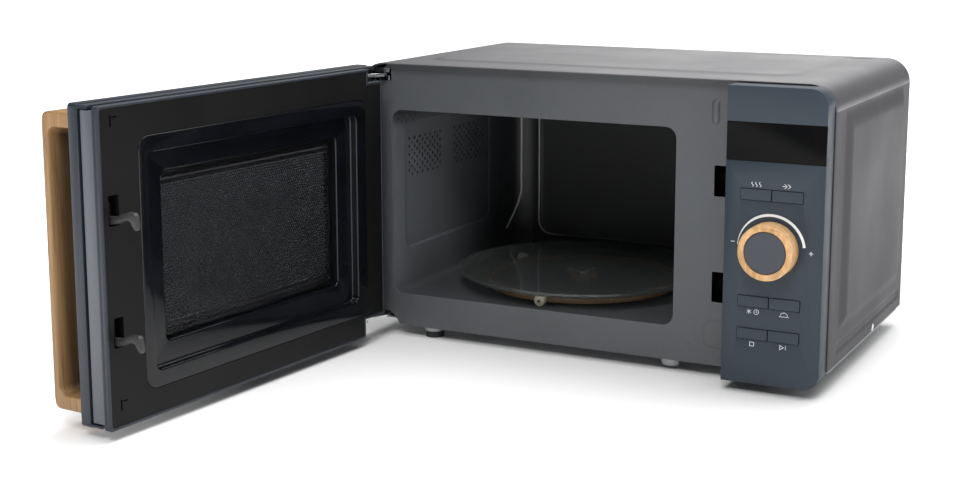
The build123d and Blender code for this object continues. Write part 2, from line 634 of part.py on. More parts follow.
# ================================================================ electronics
board_y = -137.0
with BuildPart() as control_board:
    block(front_at(board_y), 143.0, 212.0, 36.0, 232.0, 1.6, 2.0)
    with BuildSketch(front_at(board_y + 1)):
        with Locations((dial_x, dial_z)):
            Circle(3.4)
    extrude(amount=4, mode=Mode.SUBTRACT)
    # relays and terminal block on the back of the board
    block(front_at(board_y + 14), 150.0, 166.0, 196.0, 224.0, 14)
    block(front_at(board_y + 14), 172.0, 188.0, 196.0, 224.0, 14)
    block(front_at(board_y + 10), 148.0, 200.0, 40.0, 47.0, 10)

with BuildPart() as display_module:
    block(front_at(board_y - 1.6), 150.0, 204.0, 198.5, 220.0, 7.6, 0.5)

# switches soldered to the board: six push switches and the dial encoder
with BuildPart() as board_switches:
    for bz in btn_rows:
        for bx in btn_cx:
            block(front_at(board_y - 1.6), bx - 3.0, bx + 3.0, bz - 3.0, bz + 3.0, 4.0)
            round_bar(front_at(board_y - 5.6), bx, bz, 1.6, 0.9)
    with BuildSketch(front_at(board_y - 1.6)):
        with Locations((dial_x, dial_z)):
            Rectangle(13.0, 13.0)
            Circle(3.06, mode=Mode.SUBTRACT)
    extrude(amount=5.0)
    with BuildSketch(front_at(board_y - 6.6)):
        with Locations((dial_x, dial_z)):
            Circle(4.4)
            Circle(3.06, mode=Mode.SUBTRACT)
    extrude(amount=4.0)

# interlock: bracket behind the slots with two switches and their plungers
switch_y = -83.2
switch_z = {"upper": hook_z[0] + 2.0, "lower": hook_z[1] + 2.0}
with BuildPart() as interlock_bracket:
    block(front_at(-117.3), 133.4, 142.0, 54.0, 196.0, 1.5)
    block(side_at(132.0), -118.8, switch_y + 1.4, 54.0, 196.0, 1.4)
    block(front_at(switch_y + 1.4), 108.0, 133.4, 54.0, 196.0, 1.4)
    block(side_at(108.0), -118.8, switch_y + 1.4, 54.0, 196.0, 1.4)
    block(front_at(-117.3), 100.0, 109.4, 54.0, 196.0, 1.5)

with BuildPart() as interlock_switches:
    for sz in switch_z.values():
        with BuildSketch(front_at(switch_y)):
            rect(112.0, 131.0, sz - 4.8, sz + 4.8, 0.8)
        extrude(amount=12.0)
        with BuildSketch(front_at(switch_y - 4.0)):
            with Locations((122.0, sz)):
                Circle(1.56)
        extrude(amount=9.0, mode=Mode.SUBTRACT)

plunger_parts = []
for sname, sz in switch_z.items():
    with BuildPart() as plunger:
        round_bar(front_at(switch_y - 5.2), 122.0, sz, 1.5, 7.8)
    plunger.part.label = "switch_plunger_" + sname
    plunger_parts.append(plunger)

# ================================================================ turntable
with BuildPart() as turntable_motor:
    round_bar(Plane.XY.offset(base_z + sheet_t + 0.3), tt_x, tt_y, 24.0, 14.5)
    with BuildSketch(Plane.XY.offset(base_z + sheet_t + 14.8)):
        with Locations((tt_x, tt_y)):
            SlotCenterToCenter(54, 9)
    extrude(amount=1.0)
    with BuildSketch(Plane.XY.offset(22.0)):
        with Locations((tt_x, tt_y)):
            Circle(3.56)
    extrude(amount=20.0, mode=Mode.SUBTRACT)

# drive coupler: D-shaft below, three-lobed head above the floor
with BuildPart() as drive_coupler:
    round_bar(Plane.XY.offset(22.6), tt_x, tt_y, 3.5, 18.0)
    round_bar(Plane.XY.offset(cav_z0 + 0.6), tt_x, tt_y, 8.0, 3.0)
    with BuildSketch(Plane.XY.offset(cav_z0 + 3.6)):
        with Locations((tt_x, tt_y)):
            Circle(6.0)
            with PolarLocations(8.0, 3):
                Rectangle(12.0, 6.0)
    extrude(amount=5.4)

# roller ring with three radial axles
with BuildPart() as roller_ring:
    with BuildSketch(Plane.XY.offset(40.3)):
        with Locations((tt_x, tt_y)):
            Circle(roller_ring_r)
            Circle(roller_ring_r - 5.0, mode=Mode.SUBTRACT)
    extrude(amount=4.2)
    for k in range(3):
        ang = math.radians(roller_start + 120 * k)
        ex, ey = math.cos(ang), math.sin(ang)
        pl = Plane(origin=(tt_x + ex * (roller_ring_r - 2.5), tt_y + ey * (roller_ring_r - 2.5), cav_z0 + 0.15 + roller_r),
                   x_dir=(-ey, ex, 0), z_dir=(ex, ey, 0))
        round_bar(pl, 0, 0, 1.4, 14.0)

wheel_parts = []
for k in range(3):
    ang = math.radians(roller_start + 120 * k)
    ex, ey = math.cos(ang), math.sin(ang)
    pl = Plane(origin=(tt_x + ex * (roller_path_r - 3.0), tt_y + ey * (roller_path_r - 3.0), cav_z0 + 0.15 + roller_r),
               x_dir=(-ey, ex, 0), z_dir=(ex, ey, 0))
    with BuildPart() as wheel:
        with BuildSketch(pl):
            Circle(roller_r)
            Circle(1.46, mode=Mode.SUBTRACT)
        extrude(amount=6.0)
    wheel.part.label = "roller_wheel_%d" % (k + 1)
    wheel_parts.append(wheel)

# glass tray: shallow dish with a raised rim and three drive lugs below
tray_z = cav_z0 + 0.15 + 2 * roller_r + 0.3
with BuildPart() as glass_tray:
    with BuildSketch(Plane(origin=(tt_x, tt_y, 0), x_dir=(1, 0, 0), z_dir=(0, -1, 0))):
        with BuildLine():
            Polyline((0, tray_z), (tray_r - 13, tray_z), (tray_r - 3, tray_z + 3.2), (tray_r, tray_z + 5.2),
                     (tray_r, tray_z + 7.0), (tray_r - 3.4, tray_z + 7.0), (tray_r - 5.0, tray_z + 5.6),
                     (tray_r - 14, tray_z + 3.4), (0, tray_z + 3.4), (0, tray_z))
        make_face()
    revolve(axis=Axis((tt_x, tt_y, 0), (0, 0, 1)))
    with BuildSketch(Plane.XY.offset(tray_z - 4.2)):
        with Locations((tt_x, tt_y)):
            with PolarLocations(11.4, 3, start_angle=60):
                Rectangle(8.0, 5.0)
    extrude(amount=4.6)

# ================================================================ power parts
with BuildPart() as waveguide:
    block(side_at(cav_x1 + sheet_t), -50, 50, 122, 178, 30, 2.0)
    block(side_at(cav_x1 + sheet_t - 1), -48.5, 48.5, 123.5, 176.5, 29.5, 1.0, Mode.SUBTRACT)
    with BuildSketch(side_at(cav_x1 + 25)):
        with Locations((22.0, 150.0)):
            Circle(10.0)
    extrude(amount=10, mode=Mode.SUBTRACT)

with BuildPart() as waveguide_cover:
    block(side_at(cav_x1 - 1.0), -52, 52, 120, 180, 0.8, 3.0)

with BuildPart() as magnetron:
    block(side_at(cav_x1 + sheet_t + 30.2), -18, 62, 118, 182, 5.0)
    block(side_at(cav_x1 + sheet_t + 35.2), -14, 58, 128, 176, 42.0)
    for i in range(5):
        block(side_at(cav_x1 + sheet_t + 40.0 + 7.0 * i), -18, 62, 122, 182, 1.0)
    round_bar(side_at(cav_x1 + sheet_t + 77.2), 22.0, 150.0, 14.0, 14.0)
    round_bar(side_at(cav_x1 + sheet_t + 6.0), 22.0, 150.0, 8.0, 24.4)

with BuildPart() as transformer_core:
    block(Plane.XY.offset(base_z + sheet_t + 0.2), 110.0, 190.0, 22.0, 86.0, 62.0, 2.0)
    block(front_at(90.0), 121.0, 137.0, 32.0, 66.0, 72.0, 0, Mode.SUBTRACT)
    block(front_at(90.0), 163.0, 179.0, 32.0, 66.0, 72.0, 0, Mode.SUBTRACT)

with BuildPart() as transformer_coils:
    with BuildSketch(Plane.XY.offset(33.0)):
        rect(121.8, 178.2, 8.0, 100.0, 10.0)
        rect(136.4, 163.6, 21.4, 86.6, 0, Mode.SUBTRACT)
    extrude(amount=14.0)
    with BuildSketch(Plane.XY.offset(50.0)):
        rect(121.8, 178.2, 8.0, 100.0, 10.0)
        rect(136.4, 163.6, 21.4, 86.6, 0, Mode.SUBTRACT)
    extrude(amount=14.0)

with BuildPart() as hv_capacitor:
    with BuildSketch(Plane.XY.offset(base_z + sheet_t + 0.2)):
        with Locations((150.0, -30.0)):
            SlotOverall(52.0, 32.0)
    extrude(amount=86.0)
    with BuildSketch(Plane.XY.offset(base_z + sheet_t + 86.2)):
        with Locations((140.0, -30.0), (160.0, -30.0)):
            Rectangle(6.0, 1.2)
    extrude(amount=8.0)

# fan: shroud, shaded-pole motor and five-bladed rotor
with BuildPart() as fan_shroud:
    with BuildSketch(front_at(fan_y + 16.0)):
        rect(fan_x - 48.0, fan_x + 48.0, fan_z - 48.0, fan_z + 48.0, 4.0)
        with Locations((fan_x, fan_z)):
            Circle(fan_r + 3.0, mode=Mode.SUBTRACT)
    extrude(amount=2.0)
    with BuildSketch(front_at(fan_y + 14.0)):
        with Locations((fan_x, fan_z)):
            Circle(fan_r + 5.0)
            Circle(fan_r + 3.0, mode=Mode.SUBTRACT)
    extrude(amount=20.0)
    with BuildSketch(front_at(fan_y + 18.0)):
        with Locations((fan_x, fan_z)):
            Rectangle(2 * fan_r + 8.0, 9.0)
            Rectangle(9.0, 2 * fan_r + 8.0)
            Circle(3.6, mode=Mode.SUBTRACT)
    extrude(amount=2.0)

with BuildPart() as fan_motor:
    with BuildSketch(front_at(fan_y + 32.0)):
        with Locations((fan_x, fan_z)):
            RectangleRounded(52.0, 44.0, 3.0)
            Circle(2.56, mode=Mode.SUBTRACT)
    extrude(amount=14.0)

with BuildPart() as fan_rotor:
    with BuildSketch(front_at(fan_y + 12.0)):
        with Locations((fan_x, fan_z)):
            Circle(11.0)
    extrude(amount=16.0)
    round_bar(front_at(fan_y + 30.0), fan_x, fan_z, 2.5, 20.0)
    for k in range(5):
        ang = math.radians(72 * k)
        pl = Plane(origin=(fan_x, fan_y + 4.0, fan_z),
                   x_dir=(math.sin(ang), 0, -math.cos(ang)),
                   z_dir=(math.cos(ang), 0, math.sin(ang)))
        with BuildSketch(pl):
            Rectangle(24.0, 1.4, rotation=32)
        extrude(amount=fan_r)

# mains filter board, on posts under the top at the rear
with BuildPart() as filter_board:
    block(Plane.XY.offset(229.0), 104.0, 168.0, 86.0, 124.0, 1.6, 2.0)
    block(Plane.XY.offset(230.6), 108.0, 126.0, 92.0, 116.0, 15.0, 1.0)
    block(Plane.XY.offset(230.6), 132.0, 148.0, 94.0, 112.0, 12.0, 1.0)
    block(Plane.XY.offset(230.6), 154.0, 164.0, 96.0, 118.0, 9.0, 1.0)

with BuildPart() as cavity_lamp:
    block(side_at(cav_x1 + sheet_t + 0.3), 68.0, 100.0, 176.0, 204.0, 2.0, 2.0)
    round_bar(side_at(cav_x1 + sheet_t + 2.3), 84.0, 190.0, 11.0, 16.0)

# ================================================================ write out
outer_cabinet.part.label = "outer_cabinet"
export_step(outer_cabinet.part, "parts/outer_cabinet.step")
front_plate.part.label = "front_plate"
export_step(front_plate.part, "parts/front_plate.step")
cavity_shell.part.label = "cavity_shell"
export_step(cavity_shell.part, "parts/cavity_shell.step")
rear_panel.part.label = "rear_panel"
export_step(rear_panel.part, "parts/rear_panel.step")
base_plate.part.label = "base_plate"
export_step(base_plate.part, "parts/base_plate.step")
feet.part.label = "feet"
export_step(feet.part, "parts/feet.step")
rear_spacers.part.label = "rear_spacers"
export_step(rear_spacers.part, "parts/rear_spacers.step")
cord_bushing.part.label = "cord_bushing"
export_step(cord_bushing.part, "parts/cord_bushing.step")
cabinet_screws.part.label = "cabinet_screws"
export_step(cabinet_screws.part, "parts/cabinet_screws.step")
hinge_arms.part.label = "hinge_arms"
export_step(hinge_arms.part, "parts/hinge_arms.step")
hinge_pins.part.label = "hinge_pins"
export_step(hinge_pins.part, "parts/hinge_pins.step")
door_frame.part.label = "door_frame"
export_step(door_frame.part, "parts/door_frame.step")
door_glass.part.label = "door_glass"
export_step(door_glass.part, "parts/door_glass.step")
door_edge_trim.part.label = "door_edge_trim"
export_step(door_edge_trim.part, "parts/door_edge_trim.step")
door_inner_frame.part.label = "door_inner_frame"
export_step(door_inner_frame.part, "parts/door_inner_frame.step")
door_metal_frame.part.label = "door_metal_frame"
export_step(door_metal_frame.part, "parts/door_metal_frame.step")
choke_cover.part.label = "choke_cover"
export_step(choke_cover.part, "parts/choke_cover.step")
door_screen.part.label = "door_screen"
export_step(door_screen.part, "parts/door_screen.step")
door_inner_film.part.label = "door_inner_film"
export_step(door_inner_film.part, "parts/door_inner_film.step")
door_latch.part.label = "door_latch"
export_step(door_latch.part, "parts/door_latch.step")
latch_spring.part.label = "latch_spring"
export_step(latch_spring.part, "parts/latch_spring.step")
door_handle.part.label = "door_handle"
export_step(door_handle.part, "parts/door_handle.step")
handle_screws.part.label = "handle_screws"
export_step(handle_screws.part, "parts/handle_screws.step")
control_panel.part.label = "control_panel"
export_step(control_panel.part, "parts/control_panel.step")
display_window.part.label = "display_window"
export_step(display_window.part, "parts/display_window.step")
knob_ring.part.label = "knob_ring"
export_step(knob_ring.part, "parts/knob_ring.step")
knob_cap.part.label = "knob_cap"
export_step(knob_cap.part, "parts/knob_cap.step")
knob_hub.part.label = "knob_hub"
export_step(knob_hub.part, "parts/knob_hub.step")
encoder_shaft.part.label = "encoder_shaft"
export_step(encoder_shaft.part, "parts/encoder_shaft.step")
control_board.part.label = "control_board"
export_step(control_board.part, "parts/control_board.step")
display_module.part.label = "display_module"
export_step(display_module.part, "parts/display_module.step")
board_switches.part.label = "board_switches"
export_step(board_switches.part, "parts/board_switches.step")
interlock_bracket.part.label = "interlock_bracket"
export_step(interlock_bracket.part, "parts/interlock_bracket.step")
interlock_switches.part.label = "interlock_switches"
export_step(interlock_switches.part, "parts/interlock_switches.step")
turntable_motor.part.label = "turntable_motor"
export_step(turntable_motor.part, "parts/turntable_motor.step")
drive_coupler.part.label = "drive_coupler"
export_step(drive_coupler.part, "parts/drive_coupler.step")
roller_ring.part.label = "roller_ring"
export_step(roller_ring.part, "parts/roller_ring.step")
glass_tray.part.label = "glass_tray"
export_step(glass_tray.part, "parts/glass_tray.step")
waveguide.part.label = "waveguide"
export_step(waveguide.part, "parts/waveguide.step")
waveguide_cover.part.label = "waveguide_cover"
export_step(waveguide_cover.part, "parts/waveguide_cover.step")
magnetron.part.label = "magnetron"
export_step(magnetron.part, "parts/magnetron.step")
transformer_core.part.label = "transformer_core"
export_step(transformer_core.part, "parts/transformer_core.step")
transformer_coils.part.label = "transformer_coils"
export_step(transformer_coils.part, "parts/transformer_coils.step")
hv_capacitor.part.label = "hv_capacitor"
export_step(hv_capacitor.part, "parts/hv_capacitor.step")
fan_shroud.part.label = "fan_shroud"
export_step(fan_shroud.part, "parts/fan_shroud.step")
fan_motor.part.label = "fan_motor"
export_step(fan_motor.part, "parts/fan_motor.step")
fan_rotor.part.label = "fan_rotor"
export_step(fan_rotor.part, "parts/fan_rotor.step")
filter_board.part.label = "filter_board"
export_step(filter_board.part, "parts/filter_board.step")
cavity_lamp.part.label = "cavity_lamp"
export_step(cavity_lamp.part, "parts/cavity_lamp.step")
for b in button_parts + plunger_parts + wheel_parts:
    export_step(b.part, "parts/%s.step" % b.part.label)
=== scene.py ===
import bpy, bmesh, math, json
from mathutils import Vector, Matrix
import numpy as np


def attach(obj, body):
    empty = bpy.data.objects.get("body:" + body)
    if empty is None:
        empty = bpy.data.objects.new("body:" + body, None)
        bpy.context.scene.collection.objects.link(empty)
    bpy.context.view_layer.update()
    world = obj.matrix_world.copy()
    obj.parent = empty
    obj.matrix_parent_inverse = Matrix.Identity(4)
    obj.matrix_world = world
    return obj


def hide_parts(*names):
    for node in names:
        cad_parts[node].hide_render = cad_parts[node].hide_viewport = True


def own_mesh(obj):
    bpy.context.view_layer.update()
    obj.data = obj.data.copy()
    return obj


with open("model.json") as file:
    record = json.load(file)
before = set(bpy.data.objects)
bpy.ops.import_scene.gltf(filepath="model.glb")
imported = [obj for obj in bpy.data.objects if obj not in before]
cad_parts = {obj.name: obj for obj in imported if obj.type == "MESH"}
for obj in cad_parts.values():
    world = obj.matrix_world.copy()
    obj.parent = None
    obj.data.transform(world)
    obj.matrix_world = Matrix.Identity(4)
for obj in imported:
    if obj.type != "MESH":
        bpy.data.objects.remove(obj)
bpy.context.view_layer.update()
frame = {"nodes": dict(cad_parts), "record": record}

M = 0.001
DOOR_OPEN = math.radians(-95.0)
DC, DS = math.cos(DOOR_OPEN), math.sin(DOOR_OPEN)
HX, HY = -212.0, -142.0

# ------------------------------------------------------------------ placing
def at_front(u, d, v):
    """Panel coordinates: u to the right, d depth to the back, v up, in mm."""
    return (u * M, d * M, v * M)

def at_door(u, d, v):
    """The same on the shut door, carried round the hinge line to its open place."""
    return ((HX + DC * (u - HX) - DS * (d - HY)) * M, (HY + DS * (u - HX) + DC * (d - HY)) * M, v * M)

# ------------------------------------------------------------------ outlines
def rr(x0, x1, z0, z1, r, seg=6):
    """Rounded rectangle, anticlockwise. r is one radius or four: lower left, lower right, upper right, upper left."""
    rs = list(r) if isinstance(r, (tuple, list)) else [r] * 4
    rs = [max(q, 0.02) for q in rs]
    pts = []
    for (cx, cz, a0, q) in ((x0 + rs[0], z0 + rs[0], 180, rs[0]), (x1 - rs[1], z0 + rs[1], 270, rs[1]),
                            (x1 - rs[2], z1 - rs[2], 0, rs[2]), (x0 + rs[3], z1 - rs[3], 90, rs[3])):
        for k in range(seg + 1):
            a = math.radians(a0 + 90.0 * k / seg)
            pts.append((cx + q * math.cos(a), cz + q * math.sin(a)))
    return pts

def circle(cx, cz, r, n=24, a0=0.0):
    return [(cx + r * math.cos(a0 + 2 * math.pi * k / n), cz + r * math.sin(a0 + 2 * math.pi * k / n)) for k in range(n)]

def soften(pts, r, seg=3, closed=True):
    """Rounds the corners of a polyline."""
    n = len(pts)
    out = []
    for i in range(n):
        if not closed and i in (0, n - 1):
            out.append(pts[i])
            continue
        p0, p1, p2 = Vector(pts[i - 1]), Vector(pts[i]), Vector(pts[(i + 1) % n])
        a, b = p0 - p1, p2 - p1
        la, lb = a.length, b.length
        if la < 1e-6 or lb < 1e-6:
            out.append(tuple(p1))
            continue
        a.normalize(); b.normalize()
        ang = math.acos(max(-1.0, min(1.0, a.dot(b))))
        if ang > math.radians(172):
            out.append(tuple(p1))
            continue
        rad = r[i] if isinstance(r, (list, tuple)) else r
        t = min(rad / math.tan(ang / 2), 0.46 * la, 0.46 * lb)
        s, e = p1 + a * t, p1 + b * t
        for k in range(seg + 1):
            w = k / seg
            out.append(tuple((1 - w) ** 2 * s + 2 * w * (1 - w) * p1 + w * w * e))
    return out

# ------------------------------------------------------------------ mesh making
def finish_mesh(name, bm, mats, body, repl=(), angle=38, bevel=0.0, seg=2, solid=0.0, weighted=True, recalc=True):
    bmesh.ops.remove_doubles(bm, verts=bm.verts, dist=1e-6)
    if recalc:
        bmesh.ops.recalc_face_normals(bm, faces=bm.faces)
    me = bpy.data.meshes.new(name)
    bm.to_mesh(me)
    bm.free()
    me.shade_smooth()
    me.set_sharp_from_angle(angle=math.radians(angle))
    ob = bpy.data.objects.new(name, me)
    bpy.context.scene.collection.objects.link(ob)
    for m in (mats if isinstance(mats, (list, tuple)) else [mats]):
        me.materials.append(m)
    if solid:
        md = ob.modifiers.new("thickness", "SOLIDIFY")
        md.thickness = abs(solid) * M
        md.offset = -1 if solid > 0 else 1
        md.use_even_offset = True
    if bevel:
        md = ob.modifiers.new("edge", "BEVEL")
        md.width = bevel * M
        md.segments = seg
        md.limit_method = "ANGLE"
        md.angle_limit = math.radians(40)
        md.use_clamp_overlap = True
        md.miter_outer = "MITER_ARC"
    if weighted:
        md = ob.modifiers.new("normals", "WEIGHTED_NORMAL")
        md.keep_sharp = True
    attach(ob, body)
    if repl:
        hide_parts(*repl)
    return ob

def add_loops(bm, loops, ring=False, cap0=False, cap1=False, mat=0, open_loop=False, mats=None):
    """Skins a list of loops of equal length. ring joins the last loop to the first."""
    rows = [[bm.verts.new(p) for p in lp] for lp in loops]
    n = len(rows[0])
    pairs = list(zip(range(len(rows) - 1), range(1, len(rows))))
    if ring:
        pairs.append((len(rows) - 1, 0))
    for a, b in pairs:
        for i in range(n - 1 if open_loop else n):
            j = (i + 1) % n
            try:
                f = bm.faces.new((rows[a][i], rows[a][j], rows[b][j], rows[b][i]))
                f.material_index = mats[a] if mats else mat
            except ValueError:
                pass
    for flag, row, rev in ((cap0, rows[0], True), (cap1, rows[-1], False)):
        if flag:
            f = bm.faces.new(row[::-1] if rev else row)
            f.material_index = mat
    return rows

def frame_loops(place, x0, x1, z0, z1, r, profile, seg=6):
    """Loops of a picture-frame moulding. profile is (inset, depth) pairs."""
    loops = []
    for ins, dep in profile:
        rs = [max(q - ins, 0.3) for q in (r if isinstance(r, (tuple, list)) else [r] * 4)]
        loops.append([place(u, dep, v) for u, v in rr(x0 + ins, x1 - ins, z0 + ins, z1 - ins, rs, seg)])
    return loops

def add_slab(bm, place, outline, holes, d0, d1, mat=0):
    """Flat plate with holes between depths d0 and d1."""
    loops = []
    for pts in [outline] + list(holes):
        loops.append([bm.verts.new(place(u, d0, v)) for u, v in pts])
    edges = []
    for lp in loops:
        for i in range(len(lp)):
            edges.append(bm.edges.new((lp[i], lp[(i + 1) % len(lp)])))
    fill = bmesh.ops.triangle_fill(bm, use_beauty=True, edges=edges)
    faces = [g for g in fill["geom"] if isinstance(g, bmesh.types.BMFace)]
    bmesh.ops.dissolve_limit(bm, angle_limit=0.01, verts=[], edges=list({e for f in faces for e in f.edges if len(e.link_faces) == 2}))
    faces = list({f for lp in loops for v in lp for f in v.link_faces})
    ext = bmesh.ops.extrude_face_region(bm, geom=faces, use_keep_orig=True)
    moved = [g for g in ext["geom"] if isinstance(g, bmesh.types.BMVert)]
    p0, p1 = Vector(place(0, d0, 0)), Vector(place(0, d1, 0))
    bmesh.ops.translate(bm, verts=moved, vec=p1 - p0)
    return faces

def add_lathe(bm, place, profile, n=64, closed=True, mat=0, mats=None):
    """Turned shape: profile is (radius, height) pairs; place maps (x, y, h) to space."""
    loops = []
    for k in range(n):
        a = 2 * math.pi * k / n
        loops.append([place(r * math.cos(a), r * math.sin(a), h) for r, h in profile])
    rows = [[bm.verts.new(p) for p in lp] for lp in loops]
    m = len(profile)
    for k in range(n):
        for i in range(m if closed else m - 1):
            j = (i + 1) % m
            try:
                f = bm.faces.new((rows[k][i], rows[(k + 1) % n][i], rows[(k + 1) % n][j], rows[k][j]))
                f.material_index = mats[i] if mats else mat
            except ValueError:
                pass
    return rows

# ------------------------------------------------------------------ materials
def node_mat(name):
    m = bpy.data.materials.new(name)
    m.use_nodes = True
    nt = m.node_tree
    nt.nodes.clear()
    out = nt.nodes.new("ShaderNodeOutputMaterial")
    b = nt.nodes.new("ShaderNodeBsdfPrincipled")
    nt.links.new(b.outputs[0], out.inputs[0])
    return m, nt, b

def coords(nt, scale=(1, 1, 1), rot=(0, 0, 0)):
    tc = nt.nodes.new("ShaderNodeTexCoord")
    mp = nt.nodes.new("ShaderNodeMapping")
    mp.inputs["Scale"].default_value = scale
    mp.inputs["Rotation"].default_value = rot
    nt.links.new(tc.outputs["Object"], mp.inputs["Vector"])
    return mp.outputs[0]

def noise(nt, vec, scale, detail=3.0, rough=0.5, dist=0.0):
    n = nt.nodes.new("ShaderNodeTexNoise")
    n.inputs["Scale"].default_value = scale
    n.inputs["Detail"].default_value = detail
    n.inputs["Roughness"].default_value = rough
    n.inputs["Distortion"].default_value = dist
    nt.links.new(vec, n.inputs["Vector"])
    return n.outputs["Fac"]

def ramp(nt, fac, stops, mode="LINEAR"):
    r = nt.nodes.new("ShaderNodeValToRGB")
    r.color_ramp.interpolation = mode
    el = r.color_ramp.elements
    while len(el) < len(stops):
        el.new(0.5)
    for e, (p, c) in zip(el, stops):
        e.position = p
        e.color = (*c, 1) if len(c) == 3 else c
    nt.links.new(fac, r.inputs["Fac"])
    return r.outputs["Color"]

def span(nt, fac, lo, hi, a=0.0, b=1.0):
    r = nt.nodes.new("ShaderNodeMapRange")
    r.inputs["From Min"].default_value = a
    r.inputs["From Max"].default_value = b
    r.inputs["To Min"].default_value = lo
    r.inputs["To Max"].default_value = hi
    nt.links.new(fac, r.inputs["Value"])
    return r.outputs["Result"]

def bump(nt, b, height, strength, dist):
    n = nt.nodes.new("ShaderNodeBump")
    n.inputs["Strength"].default_value = strength
    n.inputs["Distance"].default_value = dist
    nt.links.new(height, n.inputs["Height"])
    nt.links.new(n.outputs["Normal"], b.inputs["Normal"])
    return n

def mixc(nt, fac, a, b, blend="MIX"):
    n = nt.nodes.new("ShaderNodeMix")
    n.data_type = "RGBA"
    n.blend_type = blend
    for sock, val in ((n.inputs[6], a), (n.inputs[7], b)):
        if isinstance(val, (tuple, list)):
            sock.default_value = (*val, 1)
        else:
            nt.links.new(val, sock)
    if isinstance(fac, (int, float)):
        n.inputs[0].default_value = fac
    else:
        nt.links.new(fac, n.inputs[0])
    return n.outputs[2]

def sub(c, k):
    return tuple(max(0.0, min(1.0, v * k)) for v in c)

def satin(name, col, rough=0.42, var=0.06, grain=1400.0, bump_mm=0.012, coat=0.0, metal=0.0, mottle=18.0, spec=0.5, rvar=0.07):
    """Painted or moulded surface: slow tone drift, fine skin texture, uneven gloss."""
    m, nt, b = node_mat(name)
    v = coords(nt)
    slow = noise(nt, v, mottle, 3.0, 0.55)
    fine = noise(nt, v, grain, 2.0, 0.6)
    c1 = ramp(nt, slow, [(0.30, sub(col, 1 - var)), (0.70, sub(col, 1 + var))])
    c2 = mixc(nt, span(nt, fine, 0.0, 0.35, 0.35, 0.75), c1, sub(col, 1.0 - 2.0 * var))
    nt.links.new(c2, b.inputs["Base Color"])
    nt.links.new(span(nt, slow, rough - rvar, rough + rvar, 0.3, 0.7), b.inputs["Roughness"])
    bump(nt, b, fine, 0.6, bump_mm * M)
    b.inputs["Metallic"].default_value = metal
    b.inputs["Specular IOR Level"].default_value = spec
    if coat:
        b.inputs["Coat Weight"].default_value = coat
        b.inputs["Coat Roughness"].default_value = 0.12
    return m

def speckled(name, col, fleck, rough=0.4, scale=900.0, amount=0.16):
    """Coating with small flecks."""
    m, nt, b = node_mat(name)
    v = coords(nt)
    vo = nt.nodes.new("ShaderNodeTexVoronoi")
    vo.inputs["Scale"].default_value = scale
    nt.links.new(v, vo.inputs["Vector"])
    dots = ramp(nt, vo.outputs["Distance"], [(0.0, (1, 1, 1)), (amount, (1, 1, 1)), (amount + 0.12, (0, 0, 0))])
    slow = noise(nt, v, 14.0, 4.0, 0.6)
    pick = noise(nt, v, scale * 0.45, 1.0, 0.5)
    keep = ramp(nt, pick, [(0.50, (0, 0, 0)), (0.60, (1, 1, 1))])
    fac = mixc(nt, 1.0, dots, keep, "MULTIPLY")
    base = ramp(nt, slow, [(0.3, sub(col, 0.90)), (0.7, sub(col, 1.10))])
    nt.links.new(mixc(nt, fac, base, fleck), b.inputs["Base Color"])
    nt.links.new(span(nt, slow, rough - 0.06, rough + 0.08, 0.3, 0.7), b.inputs["Roughness"])
    bump(nt, b, noise(nt, v, 700.0, 3.0, 0.6), 0.5, 0.02 * M)
    return m

def metal(name, col, rough=0.3, stretch=(1, 1, 60), scale=30.0, spangle=0.0):
    """Bare or plated metal with drawn lines, or zinc crystals."""
    m, nt, b = node_mat(name)
    b.inputs["Metallic"].default_value = 1.0
    v = coords(nt, stretch)
    lines = noise(nt, v, scale, 4.0, 0.7)
    c = ramp(nt, lines, [(0.3, sub(col, 0.86)), (0.7, sub(col, 1.08))])
    rsrc = lines
    if spangle:
        vo = nt.nodes.new("ShaderNodeTexVoronoi")
        vo.inputs["Scale"].default_value = spangle
        nt.links.new(coords(nt), vo.inputs["Vector"])
        c = mixc(nt, 0.35, c, ramp(nt, vo.outputs["Color"], [(0.1, sub(col, 0.75)), (0.9, sub(col, 1.1))]))
    nt.links.new(c, b.inputs["Base Color"])
    nt.links.new(span(nt, rsrc, rough - 0.08, rough + 0.12, 0.3, 0.7), b.inputs["Roughness"])
    bump(nt, b, lines, 0.35, 0.01 * M)
    return m

